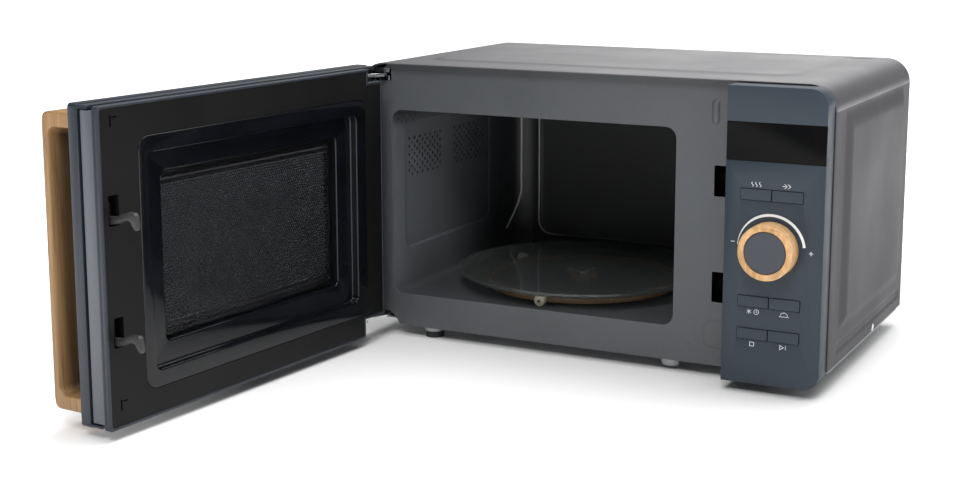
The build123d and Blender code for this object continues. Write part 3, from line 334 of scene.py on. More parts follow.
def oak(name, axis="Z", light=(0.60, 0.385, 0.20), mid=(0.46, 0.265, 0.12), dark=(0.27, 0.135, 0.055), gscale=1.0, rough=0.5):
    """Light oak: long figure along one axis, with short dark pores."""
    m, nt, b = node_mat(name)
    big, fine = 46.0 * gscale, 520.0 * gscale
    lo = {"Z": (1, 1, 0.07), "X": (0.07, 1, 1), "D": (0.30, 1, 0.30)}[axis]
    v1 = coords(nt, tuple(big * s for s in lo))
    n1 = noise(nt, v1, 1.6, 6.0, 0.62, 1.1)
    v2 = coords(nt, tuple(fine * s * (0.35 if s < 1 else 1) for s in lo))
    n2 = noise(nt, v2, 1.0, 3.0, 0.55, 0.2)
    wv = nt.nodes.new("ShaderNodeTexWave")
    wv.wave_type = "BANDS"
    wv.bands_direction = "Y" if axis != "D" else "X"
    wv.inputs["Scale"].default_value = 1.4
    wv.inputs["Distortion"].default_value = 7.0
    wv.inputs["Detail"].default_value = 3.0
    wv.inputs["Detail Scale"].default_value = 1.2
    nt.links.new(v1, wv.inputs["Vector"])
    c1 = ramp(nt, n1, [(0.22, dark), (0.42, mid), (0.58, light), (0.80, sub(light, 1.12))])
    c2 = mixc(nt, 0.42, c1, ramp(nt, wv.outputs["Fac"], [(0.0, mid), (0.5, light), (1.0, sub(mid, 0.8))]))
    pores = ramp(nt, n2, [(0.34, (1, 1, 1)), (0.42, (0, 0, 0))])
    c3 = mixc(nt, pores, c2, sub(dark, 0.9))
    soft = mixc(nt, 0.55, c2, c3)
    nt.links.new(soft, b.inputs["Base Color"])
    nt.links.new(span(nt, n1, rough - 0.08, rough + 0.10, 0.3, 0.7), b.inputs["Roughness"])
    bump(nt, b, n2, 0.35, 0.05 * M)
    return m

def glassy(name, col, rough=0.02, ior=1.5, alpha=None):
    m, nt, b = node_mat(name)
    v = coords(nt)
    n = noise(nt, v, 25.0, 2.0, 0.5)
    nt.links.new(ramp(nt, n, [(0.3, sub(col, 0.97)), (0.7, sub(col, 1.0))]), b.inputs["Base Color"])
    nt.links.new(span(nt, n, rough, rough + 0.03, 0.3, 0.7), b.inputs["Roughness"])
    b.inputs["Transmission Weight"].default_value = 1.0
    b.inputs["IOR"].default_value = ior
    return m

def gloss(name, col, rough=0.09, smear=0.05, coat=0.0, tint=None, spec=0.5):
    """Glossy moulding or glass front with faint smears."""
    m, nt, b = node_mat(name)
    v = coords(nt)
    n = noise(nt, v, 22.0, 5.0, 0.65, 0.6)
    base = ramp(nt, n, [(0.3, sub(col, 0.9)), (0.7, tint or sub(col, 1.1))])
    nt.links.new(base, b.inputs["Base Color"])
    nt.links.new(span(nt, n, rough, rough + smear, 0.35, 0.75), b.inputs["Roughness"])
    bump(nt, b, noise(nt, v, 60.0, 2.0, 0.5), 0.12, 0.02 * M)
    b.inputs["Specular IOR Level"].default_value = spec
    if coat:
        b.inputs["Coat Weight"].default_value = coat
    return m

MAT = {
    "cabinet_paint": satin("cabinet_paint", (0.082, 0.079, 0.086), 0.32, 0.05, 1500.0, 0.02, mottle=9.0),
    "galvanised": metal("galvanised", (0.40, 0.41, 0.42), 0.38, (1, 1, 1), 40.0, 110.0),
    "cavity_enamel": speckled("cavity_enamel", (0.079, 0.084, 0.091), (0.17, 0.178, 0.186), 0.44, 1500.0, 0.14),
    "foot_rubber": satin("foot_rubber", (0.022, 0.022, 0.023), 0.75, 0.2, 900.0, 0.05),
    "black_plastic": satin("black_plastic", (0.0068, 0.0068, 0.0070), 0.50, 0.12, 1700.0, 0.02, spec=0.16),
    "screw_steel": metal("screw_steel", (0.78, 0.78, 0.80), 0.16, (1, 1, 1), 500.0),
    "hinge_chrome": metal("hinge_chrome", (0.86, 0.86, 0.88), 0.12, (1, 1, 1), 200.0),
    "slate_plastic": satin("slate_plastic", (0.035, 0.048, 0.063), 0.46, 0.05, 1600.0, 0.018, mottle=12.0, spec=0.3),
    "door_glass": gloss("door_glass", (0.020, 0.025, 0.032), 0.05, 0.05, spec=0.35),
    "grey_trim": satin("grey_trim", (0.108, 0.114, 0.130), 0.36, 0.05, 1500.0, 0.012),
    "black_enamel": satin("black_enamel", (0.010, 0.010, 0.011), 0.35, 0.15, 900.0, 0.02, spec=0.3),
    "gloss_black": gloss("gloss_black", (0.0035, 0.0037, 0.0042), 0.07, 0.05, 0.0, (0.005, 0.006, 0.009), spec=0.34),
    "screen_metal": satin("screen_metal", (0.012, 0.012, 0.0125), 0.45, 0.15, 1200.0, 0.01, spec=0.12),
    "latch_plastic": satin("latch_plastic", (0.030, 0.030, 0.031), 0.42, 0.1, 1500.0, 0.03),
    "oak": oak("oak", "Z"),
    "display_gloss": gloss("display_gloss", (0.005, 0.0052, 0.0056), 0.13, 0.05, spec=0.06),
    "knob_grey": satin("knob_grey", (0.052, 0.056, 0.073), 0.50, 0.06, 1900.0, 0.012),
    "circuit_board": speckled("circuit_board", (0.03, 0.13, 0.05), (0.5, 0.48, 0.3), 0.35, 420.0, 0.10),
    "white_plastic": satin("white_plastic", (0.74, 0.73, 0.69), 0.45, 0.05, 1200.0, 0.02),
    "amber_plastic": gloss("amber_plastic", (0.24, 0.15, 0.085), 0.22, 0.12),
    "mica": speckled("mica", (0.42, 0.37, 0.29), (0.70, 0.64, 0.52), 0.35, 260.0, 0.30),
    "aluminium_fins": metal("aluminium_fins", (0.80, 0.81, 0.82), 0.28, (1, 1, 30), 40.0),
    "core_steel": metal("core_steel", (0.30, 0.28, 0.27), 0.42, (1, 1, 260), 30.0),
    "copper": metal("copper", (0.70, 0.30, 0.14), 0.30, (1, 1, 320), 30.0),
    "lamp_glass": satin("lamp_glass", (0.80, 0.76, 0.66), 0.30, 0.05, 600.0, 0.02),
    "red_plastic": satin("red_plastic", (0.42, 0.03, 0.025), 0.40, 0.08, 1200.0, 0.02),
    "wheel_plastic": satin("wheel_plastic", (0.76, 0.70, 0.60), 0.50, 0.06, 900.0, 0.03),
    "clear_film": glassy("clear_film", (0.95, 0.96, 0.99), 0.03, 1.08),
    "tray_glass": glassy("tray_glass", (0.72, 0.77, 0.76), 0.04, 1.45),
}
def liner_enamel():
    """The same enamel inside the oven, given a lighter base colour than on the front plate as painted light on the
    walls. The darkening towards back, ceiling and floor is shading painted into the colour, not a property of the
    enamel.
    """
    m = speckled("liner_enamel", (0.150, 0.160, 0.174), (0.27, 0.285, 0.30), 0.36, 1500.0, 0.12)
    nt = m.node_tree
    b = next(n for n in nt.nodes if n.type == "BSDF_PRINCIPLED")
    old = b.inputs["Base Color"].links[0].from_socket
    sp = nt.nodes.new("ShaderNodeSeparateXYZ")
    nt.links.new(coords(nt), sp.inputs[0])
    deep = span(nt, sp.outputs["Y"], 1.0, 0.10, -0.02, 0.118)
    high = span(nt, sp.outputs["Z"], 1.0, 0.13, 0.192, 0.212)
    low = span(nt, sp.outputs["Z"], 0.45, 1.0, 0.038, 0.046)
    def mul(a, c):
        n = nt.nodes.new("ShaderNodeMath")
        n.operation = "MULTIPLY"
        nt.links.new(a, n.inputs[0]); nt.links.new(c, n.inputs[1])
        return n.outputs[0]
    k = mul(mul(deep, high), low)
    vm = nt.nodes.new("ShaderNodeVectorMath")
    vm.operation = "SCALE"
    nt.links.new(old, vm.inputs[0]); nt.links.new(k, vm.inputs["Scale"])
    nt.links.new(vm.outputs[0], b.inputs["Base Color"])
    b.inputs["Specular IOR Level"].default_value = 0.35
    return m

LINER = liner_enamel()

def bead_highlight_enamel():
    """Enamel on the pressed beads, much lighter than the liner's to give painted highlights along them. Brighter still
    at the left corner to stand in for a highlight; painted tone, not wear.
    """
    m = satin("bead_highlight_enamel", (0.34, 0.36, 0.39), 0.24, 0.06, 1500.0, 0.01, spec=0.8)
    nt = m.node_tree
    b = next(n for n in nt.nodes if n.type == "BSDF_PRINCIPLED")
    old = b.inputs["Base Color"].links[0].from_socket
    sp = nt.nodes.new("ShaderNodeSeparateXYZ")
    nt.links.new(coords(nt), sp.inputs[0])
    k = span(nt, sp.outputs["X"], 1.0, 0.16, -0.157, -0.125)
    vm = nt.nodes.new("ShaderNodeVectorMath")
    vm.operation = "SCALE"
    nt.links.new(old, vm.inputs[0]); nt.links.new(k, vm.inputs["Scale"])
    nt.links.new(vm.outputs[0], b.inputs["Base Color"])
    return m

BEAD_HIGHLIGHT = bead_highlight_enamel()
_tray = next(n for n in MAT["tray_glass"].node_tree.nodes if n.type == "BSDF_PRINCIPLED")
_tray.inputs["Transmission Weight"].default_value = 0.95
# darker copy of the slate plastic for the door frame and rim: painted shade, the same slate as the control panel
SHADED_DOOR_SLATE = satin("shaded_door_slate", (0.021, 0.028, 0.038), 0.40, 0.06, 1600.0, 0.015, mottle=12.0, spec=0.4)
# darker, duller copy of the cabinet paint for the side faces: painted shade, the same paint as the top
SHADED_SIDE_PAINT = satin("shaded_side_paint", (0.066, 0.0635, 0.069), 0.50, 0.05, 1500.0, 0.02, mottle=9.0, spec=0.14)

def oak_handle():
    """Oak of the handle. The scoop is darkened to stand in for its shadow; painted tone, not a change in the wood."""
    m = oak("oak_handle", "Z", (0.58, 0.355, 0.165), (0.44, 0.245, 0.100), (0.23, 0.105, 0.038))
    nt = m.node_tree
    b = next(n for n in nt.nodes if n.type == "BSDF_PRINCIPLED")
    old = b.inputs["Base Color"].links[0].from_socket
    sp = nt.nodes.new("ShaderNodeSeparateXYZ")
    nt.links.new(coords(nt), sp.inputs[0])
    def math2(op, p, q):
        n = nt.nodes.new("ShaderNodeMath")
        n.operation = op
        for k, v in enumerate((p, q)):
            if isinstance(v, (int, float)):
                n.inputs[k].default_value = v
            else:
                nt.links.new(v, n.inputs[k])
        return n.outputs[0]
    X, Y = math2("ADD", sp.outputs["X"], -HX * M), math2("ADD", sp.outputs["Y"], -HY * M)
    u = math2("ADD", math2("ADD", math2("MULTIPLY", X, DC), math2("MULTIPLY", Y, DS)), HX * M)
    d = math2("ADD", math2("ADD", math2("MULTIPLY", X, -DS), math2("MULTIPLY", Y, DC)), HY * M)
    deep = span(nt, u, 1.0, 0.0, 0.119, 0.1316)
    inner = math2("MULTIPLY", span(nt, u, 0.0, 1.0, 0.0955, 0.099), span(nt, d, 0.0, 1.0, -0.1822, -0.1785))
    ends = math2("MULTIPLY", span(nt, sp.outputs["Z"], 0.0, 1.0, 0.022, 0.034), span(nt, sp.outputs["Z"], 1.0, 0.0, 0.228, 0.240))
    fac = math2("MULTIPLY", math2("MULTIPLY", deep, inner), ends)
    k = span(nt, fac, 0.70, 0.14)
    vm = nt.nodes.new("ShaderNodeVectorMath")
    vm.operation = "SCALE"
    nt.links.new(old, vm.inputs[0]); nt.links.new(k, vm.inputs["Scale"])
    nt.links.new(vm.outputs[0], b.inputs["Base Color"])
    return m

OAK_DEEP = oak_handle()
OAK_KNOB = oak("oak_knob", "D", (0.86, 0.56, 0.29), (0.64, 0.36, 0.15), (0.36, 0.17, 0.055), 1.3, 0.42)
WINDOW_TINT = glassy("window_tint", (0.045, 0.047, 0.051), 0.02, 1.15)
PRINT = satin("print_white", (0.80, 0.82, 0.85), 0.5, 0.03, 1500.0, 0.01)

# carried-over CAD nodes: procedural finish by their slot
SLOT = {s["node"]: s["material_slot"] for s in frame["record"]["subparts"]}
for node, ob in frame["nodes"].items():
    mat = MAT[SLOT[node]]
    if not ob.data.materials:
        ob.data.materials.append(mat)
    for i in range(len(ob.material_slots)):
        ob.material_slots[i].material = mat

# the door frame takes the darker copy of the slate: painted shade
for i in range(len(frame["nodes"]["door_frame"].material_slots)):
    frame["nodes"]["door_frame"].material_slots[i].material = SHADED_DOOR_SLATE

# ================================================================== cabinet
W2, CF, CR, CT, CB, BR = 220.0, -130.0, 130.0, 255.5, 20.0, 22.0
SO, SI = (-99.0, 106.0, 48.5, 231.0), (-86.0, 93.0, 60.0, 216.0)
TO = (-181.0, 178.0, -90.0, 100.0)

def smooth(t):
    t = max(0.0, min(1.0, t))
    return t * t * (3 - 2 * t)

def softmin(vals, k):
    return -k * math.log(sum(math.exp(-v / k) for v in vals))

def side_press(y, z):
    """Outward height of the pressed side at (y, z): raised panel and a long groove below it."""
    t = softmin(((y - SO[0]) / (SI[0] - SO[0]), (SO[1] - y) / (SO[1] - SI[1]),
                 (z - SO[2]) / (SI[2] - SO[2]), (SO[3] - z) / (SO[3] - SI[3])), 0.07)
    rise = 3.85 * smooth(0.08 + 0.92 * t) if t > 0 else 3.85 * smooth(max(0.0, 0.08 + 0.92 * t))
    d = math.hypot(max(0.0, abs(y - 5.5) - 105.5), z - 33.5)
    return rise - 1.15 * smooth((5.6 - d) / 3.0)

def top_press(x, y):
    """Outward height of the pressed top at (x, y), with the hand slot at its right."""
    cx, cy, hx, hy, r = (TO[0] + TO[1]) / 2, (TO[2] + TO[3]) / 2, (TO[1] - TO[0]) / 2, (TO[3] - TO[2]) / 2, 30.0
    qx, qy = abs(x - cx) - (hx - r), abs(y - cy) - (hy - r)
    sd = math.hypot(max(qx, 0), max(qy, 0)) + min(max(qx, qy), 0.0) - r
    rise = 1.45 * smooth(-sd / 11.0)
    ds = math.hypot(max(0.0, abs(x - 175.0) - 9.5), y - 110.0)
    return rise - 2.2 * smooth((2.6 - ds) / 1.3)

def cabinet_skin():
    bm = bmesh.new()
    # stations along the section, from the lower left edge over the top to the lower right
    st = []
    zs = sorted(set([CB, 27.0, 30.0] + list(np.arange(24, 233.5, 2.6)) + [28.6, 30.6, 31.6, 35.4, 36.4, 38.4, 48.5, 60.0, 216.0, 231.0, 233.5]))
    for z in zs:
        st.append((-W2, z, -1.0, 0.0, "s"))
    for k in range(1, 10):
        a = math.pi - (math.pi / 2) * k / 9
        st.append((-W2 + BR + BR * math.cos(a), CT - BR + BR * math.sin(a), math.cos(a), math.sin(a), "b"))
    xs = sorted(set(list(np.arange(-195, 196, 3.0)) + [-181, -174, -168, 165, 171, 178, 164, 186]))
    for x in xs:
        st.append((x, CT, 0.0, 1.0, "t"))
    for k in range(0, 9):
        a = math.pi / 2 - (math.pi / 2) * k / 9
        st.append((W2 - BR + BR * math.cos(a), CT - BR + BR * math.sin(a), math.cos(a), math.sin(a), "b"))
    for z in reversed(zs):
        st.append((W2, z, 1.0, 0.0, "s"))
    ys = sorted(set([CF + 1.2, -120.0, -112.0, 118.0, 124.0, CR - 0.8] + list(np.arange(-108, 114, 2.6)) +
                    [-99.0, -96, -86.0, -90, -79, 93.0, 106.0, 100, 89, 108.2, 109.2, 110.8, 111.8]))
    t = 1.2
    prof = []
    for y in reversed(ys):
        prof.append((y, "in"))
    for k in range(1, 6):
        a = math.pi * k / 6
        prof.append((CF + 0.6 + 0.6 - 0.6 * math.sin(a) - 0.0, -0.6 - 0.6 * math.cos(a)))
    for y in ys:
        prof.append((y, "out"))
    loops = []
    for (x, z, nx, nz, kind) in st:
        lp = []
        for y, w in prof:
            yy = y
            dep = side_press(yy, z) if kind == "s" else (top_press(x, yy) if kind == "t" else 0.0)
            if w == "in":
                off = dep - t
            elif w == "out":
                off = dep
            else:
                off = w
            lp.append(((x + nx * off) * M, yy * M, (z + nz * off) * M))
        loops.append(lp)
    add_loops(bm, loops, cap0=True, cap1=True)
    # the side faces take the darker copy of the paint: painted shade
    for f in bm.faces:
        c = f.calc_center_median()
        if abs(c.x) > (W2 - 2.0) * M and c.z < (CT - BR) * M:
            f.material_index = 1
    ob = finish_mesh("cabinet_skin", bm, [MAT["cabinet_paint"], SHADED_SIDE_PAINT], "cabinet", ("outer_cabinet",), angle=50, weighted=False)
    return ob

cabinet_skin()

# ------------------------------------------------------------------ front plate
def front_plate():
    bm = bmesh.new()
    outline = soften([(-218.5, 23.5), (-218.5, 232.6), (-197.5, 253.9), (152.0, 253.9), (152.0, 10.5), (-187.0, 10.5),
                      (-190.0, 15.0), (-196.0, 22.0), (-208.0, 23.5)][::-1], [0.5, 3, 3, 2, 0.5, 0.5, 2, 16, 1], 5)
    holes = [rr(-193.8, 82.2, 40.9, 212.3, 10.0, 8)[::-1],
             rr(116.5, 131.0, 156.4, 182.5, 0.8, 3)[::-1], rr(116.5, 131.0, 65.8, 91.9, 0.8, 3)[::-1],
             rr(-210.9, -194.3, 238.6, 250.0, 1.0, 3)[::-1]]
    add_slab(bm, at_front, outline, holes, -120.0, -118.8)
    return finish_mesh("front_plate_sheet", bm, MAT["cavity_enamel"], "cabinet", ("front_plate",), bevel=0.45, seg=2)

front_plate()

# raised pressings on the front plate
def pressings():
    bm = bmesh.new()
    def pad(outline_fn, h, run):
        loops = []
        for k in range(7):
            a = k / 6
            ins = run * a
            dep = -120.02 - h * smooth(a)
            loops.append([at_front(u, dep, v) for u, v in outline_fn(ins)])
        add_loops(bm, loops, cap1=True)
    pad(lambda i: rr(112.8 + i, 120.5 - i, 216.5 + i, 238.0 - i, 3.6 - i * 0.9, 5), 1.3, 2.2)
    pad(lambda i: rr(109.0 + i, 151.0 - i, 25.0 + i, 51.0 - i, 9.0 - i * 0.9, 6), 0.9, 3.0)
    pad(lambda i: circle(96.5, 27.0, 1.6 - 0.4 * i, 16), 0.5, 1.2)
    return finish_mesh("front_plate_pressings", bm, MAT["cavity_enamel"], "cabinet", (), weighted=False)

pressings()

# ------------------------------------------------------------------ cavity
def cavity():
    bm = bmesh.new()
    x0, x1, yf, yb, z0, z1, R, rb = -193.8, 82.2, -118.9, 126.0, 38.0, 212.3, 7.0, 30.0
    def path(ins, full=True):
        pts = []
        if full:
            pts.append((x0 + ins, yf))
        pts.append((x0 + ins, yb - rb))
        for k in range(1, 10):
            a = math.pi - (math.pi / 2) * k / 10
            pts.append((x0 + rb + (rb - ins) * math.cos(a), yb - rb + (rb - ins) * math.sin(a)))
        pts.append((x0 + rb, yb - ins)); pts.append((x1 - rb, yb - ins))
        for k in range(1, 10):
            a = math.pi / 2 - (math.pi / 2) * k / 10
            pts.append((x1 - rb + (rb - ins) * math.cos(a), yb - rb + (rb - ins) * math.sin(a)))
        pts.append((x1 - ins, yb - rb)); pts.append((x1 - ins, yf))
        return pts
    def rows(levels, full):
        return [[(p[0] * M, p[1] * M, z * M) for p in path(i, full)] for i, z in levels]
    low = [(R * (1 - math.sin(math.pi / 2 * k / 5)), z0 + R * (1 - math.cos(math.pi / 2 * k / 5))) for k in range(6)]
    high = [(i, z1 - (z - z0)) for i, z in low[::-1]]
    add_loops(bm, rows(low, True), open_loop=True, cap0=False)
    add_loops(bm, rows([(0, z0 + R), (0, z1 - R)], False), open_loop=True)
    add_loops(bm, rows(high, True), open_loop=True)
    # floor with the drive hole, ceiling
    def cap(z, hole):
        outer = [bm.verts.new((p[0] * M, p[1] * M, z * M)) for p in path(R, True)]
        loops = [outer]
        if hole:
            loops.append([bm.verts.new((u * M, v * M, z * M)) for u, v in circle(-56.0, 3.5, 6.5, 28)[::-1]])
        edges = [bm.edges.new((lp[i], lp[(i + 1) % len(lp)])) for lp in loops for i in range(len(lp))]
        bmesh.ops.triangle_fill(bm, use_beauty=True, edges=edges)
    cap(z0, True)
    cap(z1, False)
    # left wall: flat border, sloped step, recessed field with the steam vents
    def wall(outline, holes, x):
        loops = [[bm.verts.new((x * M, u * M, v * M)) for u, v in pts] for pts in [outline] + holes]
        edges = [bm.edges.new((lp[i], lp[(i + 1) % len(lp)])) for lp in loops for i in range(len(lp))]
        bmesh.ops.triangle_fill(bm, use_beauty=True, edges=edges)
    za, zb = z0 + R, z1 - R
    outer = [(yf, za), (yb - rb, za), (yb - rb, zb), (yf, zb)]
    field = lambda i: rr(-97.0 + i, 79.0 - i, 77.0 + i, 197.0 - i, 12.0 - i, 6)
    strip = []
    for k in range(8):
        strip.append(circle(-113.0 + 5.2 * k, 202.6 if k % 2 else 199.6, 1.25, 8)[::-1])
    wall(outer, [field(0)[::-1]] + strip, x0)
    add_loops(bm, [[(x0 * M - d * M, u * M, v * M) for u, v in field(i)] for i, d in ((0, 0), (0.6, 0.15), (2.4, 1.25), (3.0, 1.4))])
    vents = []
    for gy in (-56.0, 33.5):
        for c in range(13):
            for r in range(5):
                z = 181.0 - 7.6 * r - (3.8 if c % 2 else 0.0)
                vents.append(circle(gy - 30.0 + 5.0 * c, z, 1.75, 8)[::-1])
    wall(field(3.0), vents, x0 - 1.4)
    ob = finish_mesh("cavity_liner", bm, LINER, "cabinet", ("cavity_shell",), angle=30, solid=-1.0, weighted=True)
    return ob

cavity()

# ------------------------------------------------------------------ finer edges on the carried-over nodes
def polish(node, width=0.35, seg=2, angle=32, flat=1.5):
    """Softens the edges of a CAD node with modifiers only."""
    ob = frame["nodes"][node]
    md = ob.modifiers.new("weld", "WELD")
    md.merge_threshold = 2e-6
    md = ob.modifiers.new("flats", "DECIMATE")
    md.decimate_type = "DISSOLVE"
    md.angle_limit = math.radians(flat)
    md = ob.modifiers.new("edge", "BEVEL")
    md.width = width * M
    md.segments = seg
    md.limit_method = "ANGLE"
    md.angle_limit = math.radians(angle)
    md.use_clamp_overlap = True
    md.harden_normals = True
    for p in ob.data.polygons:
        p.use_smooth = True
    ob.data.set_sharp_from_angle(angle=math.radians(angle))
    return ob

for node, w in (("control_panel", 0.55), ("display_window", 0.35), ("door_frame", 0.45), ("door_edge_trim", 0.3),
                ("door_latch", 0.55), ("hinge_arms", 0.3), ("base_plate", 0.3)):
    polish(node, w)
for node in frame["nodes"]:
    if node.startswith("button_"):
        polish(node, 0.4, 3)

# ================================================================== control panel
PF = -151.0

def prism(bm, pts, d0, d1, place=at_front):
    """Small raised shape from a convex outline."""
    lo = [place(u, d0, v) for u, v in pts]
    hi = [place(u, d1, v) for u, v in pts]
    add_loops(bm, [lo, hi], cap0=True, cap1=True)

def stroke(bm, pts, w, closed=False, d0=PF - 0.01, d1=PF - 0.16):
    """Printed line of width w: one mitred strip with a little body."""
    n = len(pts)
    left, right = [], []
    for i in range(n):
        p = Vector(pts[i])
        a = Vector(pts[i - 1]) if (i or closed) else None
        b = Vector(pts[(i + 1) % n]) if (i < n - 1 or closed) else None
        d1v = (p - a).normalized() if a else (b - p).normalized()
        d2v = (b - p).normalized() if b else d1v
        t = (d1v + d2v)
        t = t.normalized() if t.length > 1e-4 else d1v
        nrm = Vector((-t.y, t.x))
        k = 1.0 / max(0.45, nrm.dot(Vector((-d1v.y, d1v.x))))
        ww = w[i] if isinstance(w, (list, tuple)) else w
        left.append(p + nrm * ww / 2 * k)
        right.append(p - nrm * ww / 2 * k)
    loops = []
    for l, r in zip(left, right):
        loops.append([at_front(l.x, d0, l.y), at_front(r.x, d0, r.y), at_front(r.x, d1, r.y), at_front(l.x, d1, l.y)])
    add_loops(bm, loops, ring=closed, cap0=not closed, cap1=not closed)

def marks():
    bm = bmesh.new()
    dx, dz = 176.8, 123.0
    # scale round the dial: thin at the left, broader at the right
    n = 44
    arc, wid = [], []
    for k in range(n + 1):
        a = math.radians(176 - 168.0 * k / n)
        arc.append((dx - 0.8 + 27.9 * math.cos(a), dz - 0.4 + 27.9 * math.sin(a)))
        wid.append(0.45 + 1.75 * smooth(k / (n * 0.45)))
    stroke(bm, arc, wid)
    # minus and plus at the ends of the scale
    stroke(bm, [(142.6, 126.6), (145.6, 126.6)], 0.55)
    stroke(bm, [(207.6, 122.2), (211.0, 122.2)], 0.55)
    stroke(bm, [(209.3, 120.5), (209.3, 123.9)], 0.55)
    w = 0.42
    top, low, last = 174.8, 69.6, 42.4
    # wave: cooking power
    for o in (-3.2, 0.0, 3.2):
        stroke(bm, [(162.6 + o + 0.8 * math.sin(t * 1.05), top - 1.9 + t * 0.63) for t in range(7)], w)
    # double arrow: quick cooking
    for o in (-1.6, 1.3):
        stroke(bm, [(188.8 + o - 1.2, top + 1.8), (188.8 + o + 0.8, top), (188.8 + o - 1.2, top - 1.8)], w)
    stroke(bm, [(184.4, top), (186.6, top)], w)
    # snow crystal and clock: thawing by time
    cx, cz = 159.4, low
    for k in range(3):
        a = math.radians(90 + 60 * k)
        stroke(bm, [(cx - 2.1 * math.cos(a), cz - 2.1 * math.sin(a)), (cx + 2.1 * math.cos(a), cz + 2.1 * math.sin(a))], w * 0.85)
    stroke(bm, circle(165.6, low, 1.95, 18), w * 0.85, closed=True)
    stroke(bm, [(165.6, low + 1.2), (165.6, low), (166.5, low - 0.5)], w * 0.7)
    # covered dish: cooking programmes
    cx, cz = 188.8, low - 0.8
    stroke(bm, [(cx + 3.0 * math.cos(math.radians(a)), cz + 2.5 * math.sin(math.radians(a))) for a in range(0, 181, 15)], w * 0.85)
    stroke(bm, [(cx - 4.0, cz - 0.7), (cx + 4.0, cz - 0.7)], w * 0.85)
    stroke(bm, [(cx, cz + 2.6), (cx, cz + 3.3)], w)
    # square: stop
    stroke(bm, [(160.9, last - 1.6), (164.3, last - 1.6), (164.3, last + 1.6), (160.9, last + 1.6)], w, closed=True)
    # triangle and bar: start
    stroke(bm, [(186.2, last - 1.8), (189.2, last), (186.2, last + 1.8)], w, closed=True)
    stroke(bm, [(190.9, last - 1.8), (190.9, last + 1.8)], w)
    return finish_mesh("panel_marks", bm, PRINT, "cabinet", (), weighted=False)

marks()

def knob():
    place = lambda x, y, h: at_front(176.8 + x, h, 123.0 + y)
    bm = bmesh.new()
    prof = [(17.5, -152.0), (22.2, -152.0), (22.55, -152.25), (22.78, -152.8), (22.8, -168.9), (22.62, -169.8), (22.1, -170.6),
            (21.3, -170.98), (19.0, -171.0), (18.2, -170.9), (17.7, -170.5), (17.5, -169.9)]
    add_lathe(bm, place, prof, 96)
    finish_mesh("knob_grip", bm, OAK_KNOB, "knob", ("knob_ring",), angle=60, weighted=False)
    bm = bmesh.new()
    prof = [(0.02, -169.75), (9.0, -169.85), (15.8, -170.05), (16.7, -169.95), (17.15, -169.5), (17.3, -168.9), (17.3, -167.7), (0.02, -167.7)]
    add_lathe(bm, place, prof, 96)
    finish_mesh("knob_face", bm, MAT["knob_grey"], "knob", ("knob_cap",), angle=60, weighted=False)

knob()

# ================================================================== door
HOOK_Z = (166.0, 74.0)
RX0, RX1, RZ0, RZ1 = -189.0, 95.5, 30.5, 227.0
WX0, WX1, WZ0, WZ1 = -147.0, 60.0, 70.0, 189.0

def door_front_sheet():
    bm = bmesh.new()
    out = rr(-215.3, 131.0, 13.1, 249.6, 2.0, 4)
    win = rr(WX0 - 17, WX1 + 17, WZ0 - 21, WZ1 + 21, 8.0, 6)
    add_slab(bm, at_door, out, [win[::-1]], -148.3, -150.75)
    pane = bmesh.new()
    finish_mesh("door_front_sheet", bm, MAT["door_glass"], "door", ("door_glass",), bevel=0.25, seg=2)
    bm = bmesh.new()
    add_slab(bm, at_door, rr(WX0 - 16.95, WX1 + 16.95, WZ0 - 20.95, WZ1 + 20.95, 8.0, 6), [], -148.35, -150.7)
    pane.free()
    finish_mesh("door_window_pane", bm, WINDOW_TINT, "door", ("door_glass",), weighted=False, angle=30)

door_front_sheet()

def notched(i):
    """Outline of the inner moulding, inset by i, with its corners cut away for the hinge arms."""
    return soften([(-214 + i, 26 + i), (-185 + i, 26 + i), (-185 + i, 8.9 + i), (135.2 - i, 8.9 + i), (135.2 - i, 252.8 - i),
                   (-193 + i, 252.8 - i), (-193 + i, 240.6 - i), (-214 + i, 240.6 - i)], [0.8, 0.8, 1.2, 2.6, 2.6, 1.2, 0.8, 0.8], 4)

def door_inner():
    bm = bmesh.new()
    prof = [(2.2, -127.2), (0.35, -127.2), (0.1, -127.1), (0.0, -126.8), (0.0, -125.0), (0.25, -124.7), (0.25, -124.2), (0.0, -123.9),
            (0.0, -121.7), (0.12, -121.3), (0.45, -121.02), (1.0, -121.0), (1.75, -121.0), (2.05, -121.1), (2.2, -121.4), (2.2, -122.6)]
    loops = [[at_door(u, d, v) for u, v in notched(i)] for i, d in prof]
    add_loops(bm, loops, ring=True)
    # the rim takes the darker copy of the slate: painted shade
    finish_mesh("door_inner_rim", bm, SHADED_DOOR_SLATE, "door", ("door_inner_frame",), angle=50, weighted=False)
    bm = bmesh.new()
    holes = [rr(RX0, RX1, RZ0, RZ1, 12.0, 8)[::-1]]
    for hz in HOOK_Z:
        holes.append(rr(117.0, 127.5, hz - 2.5, hz + 20.5, 0.8, 3)[::-1])
    # snap slots near the free edge
    for u0, v0 in ((121.6, 236.5), (121.6, 22.6)):
        holes.append(rr(u0, u0 + 1.6, v0, v0 + 9.0, 0.4, 2)[::-1])
        holes.append(rr(u0 - 5.6, u0 - 0.9, v0 + 6.6, v0 + 7.8, 0.4, 2)[::-1])
    add_slab(bm, at_door, notched(2.15), holes, -121.5, -123.4)
    # latch guide walls behind the slots
    for u0, u1 in ((113.0, 115.0), (129.4, 130.6)):
        add_loops(bm, [[at_door(u, d, v) for u, v in ((u0, HOOK_Z[1] - 14.0), (u1, HOOK_Z[1] - 14.0), (u1, HOOK_Z[0] + 36.0), (u0, HOOK_Z[0] + 36.0))]
                       for d in (-136.0, -123.3)], cap0=True, cap1=True)
    finish_mesh("door_inner_face", bm, MAT["black_plastic"], "door", ("door_inner_frame",), bevel=0.3, seg=2)

door_inner()

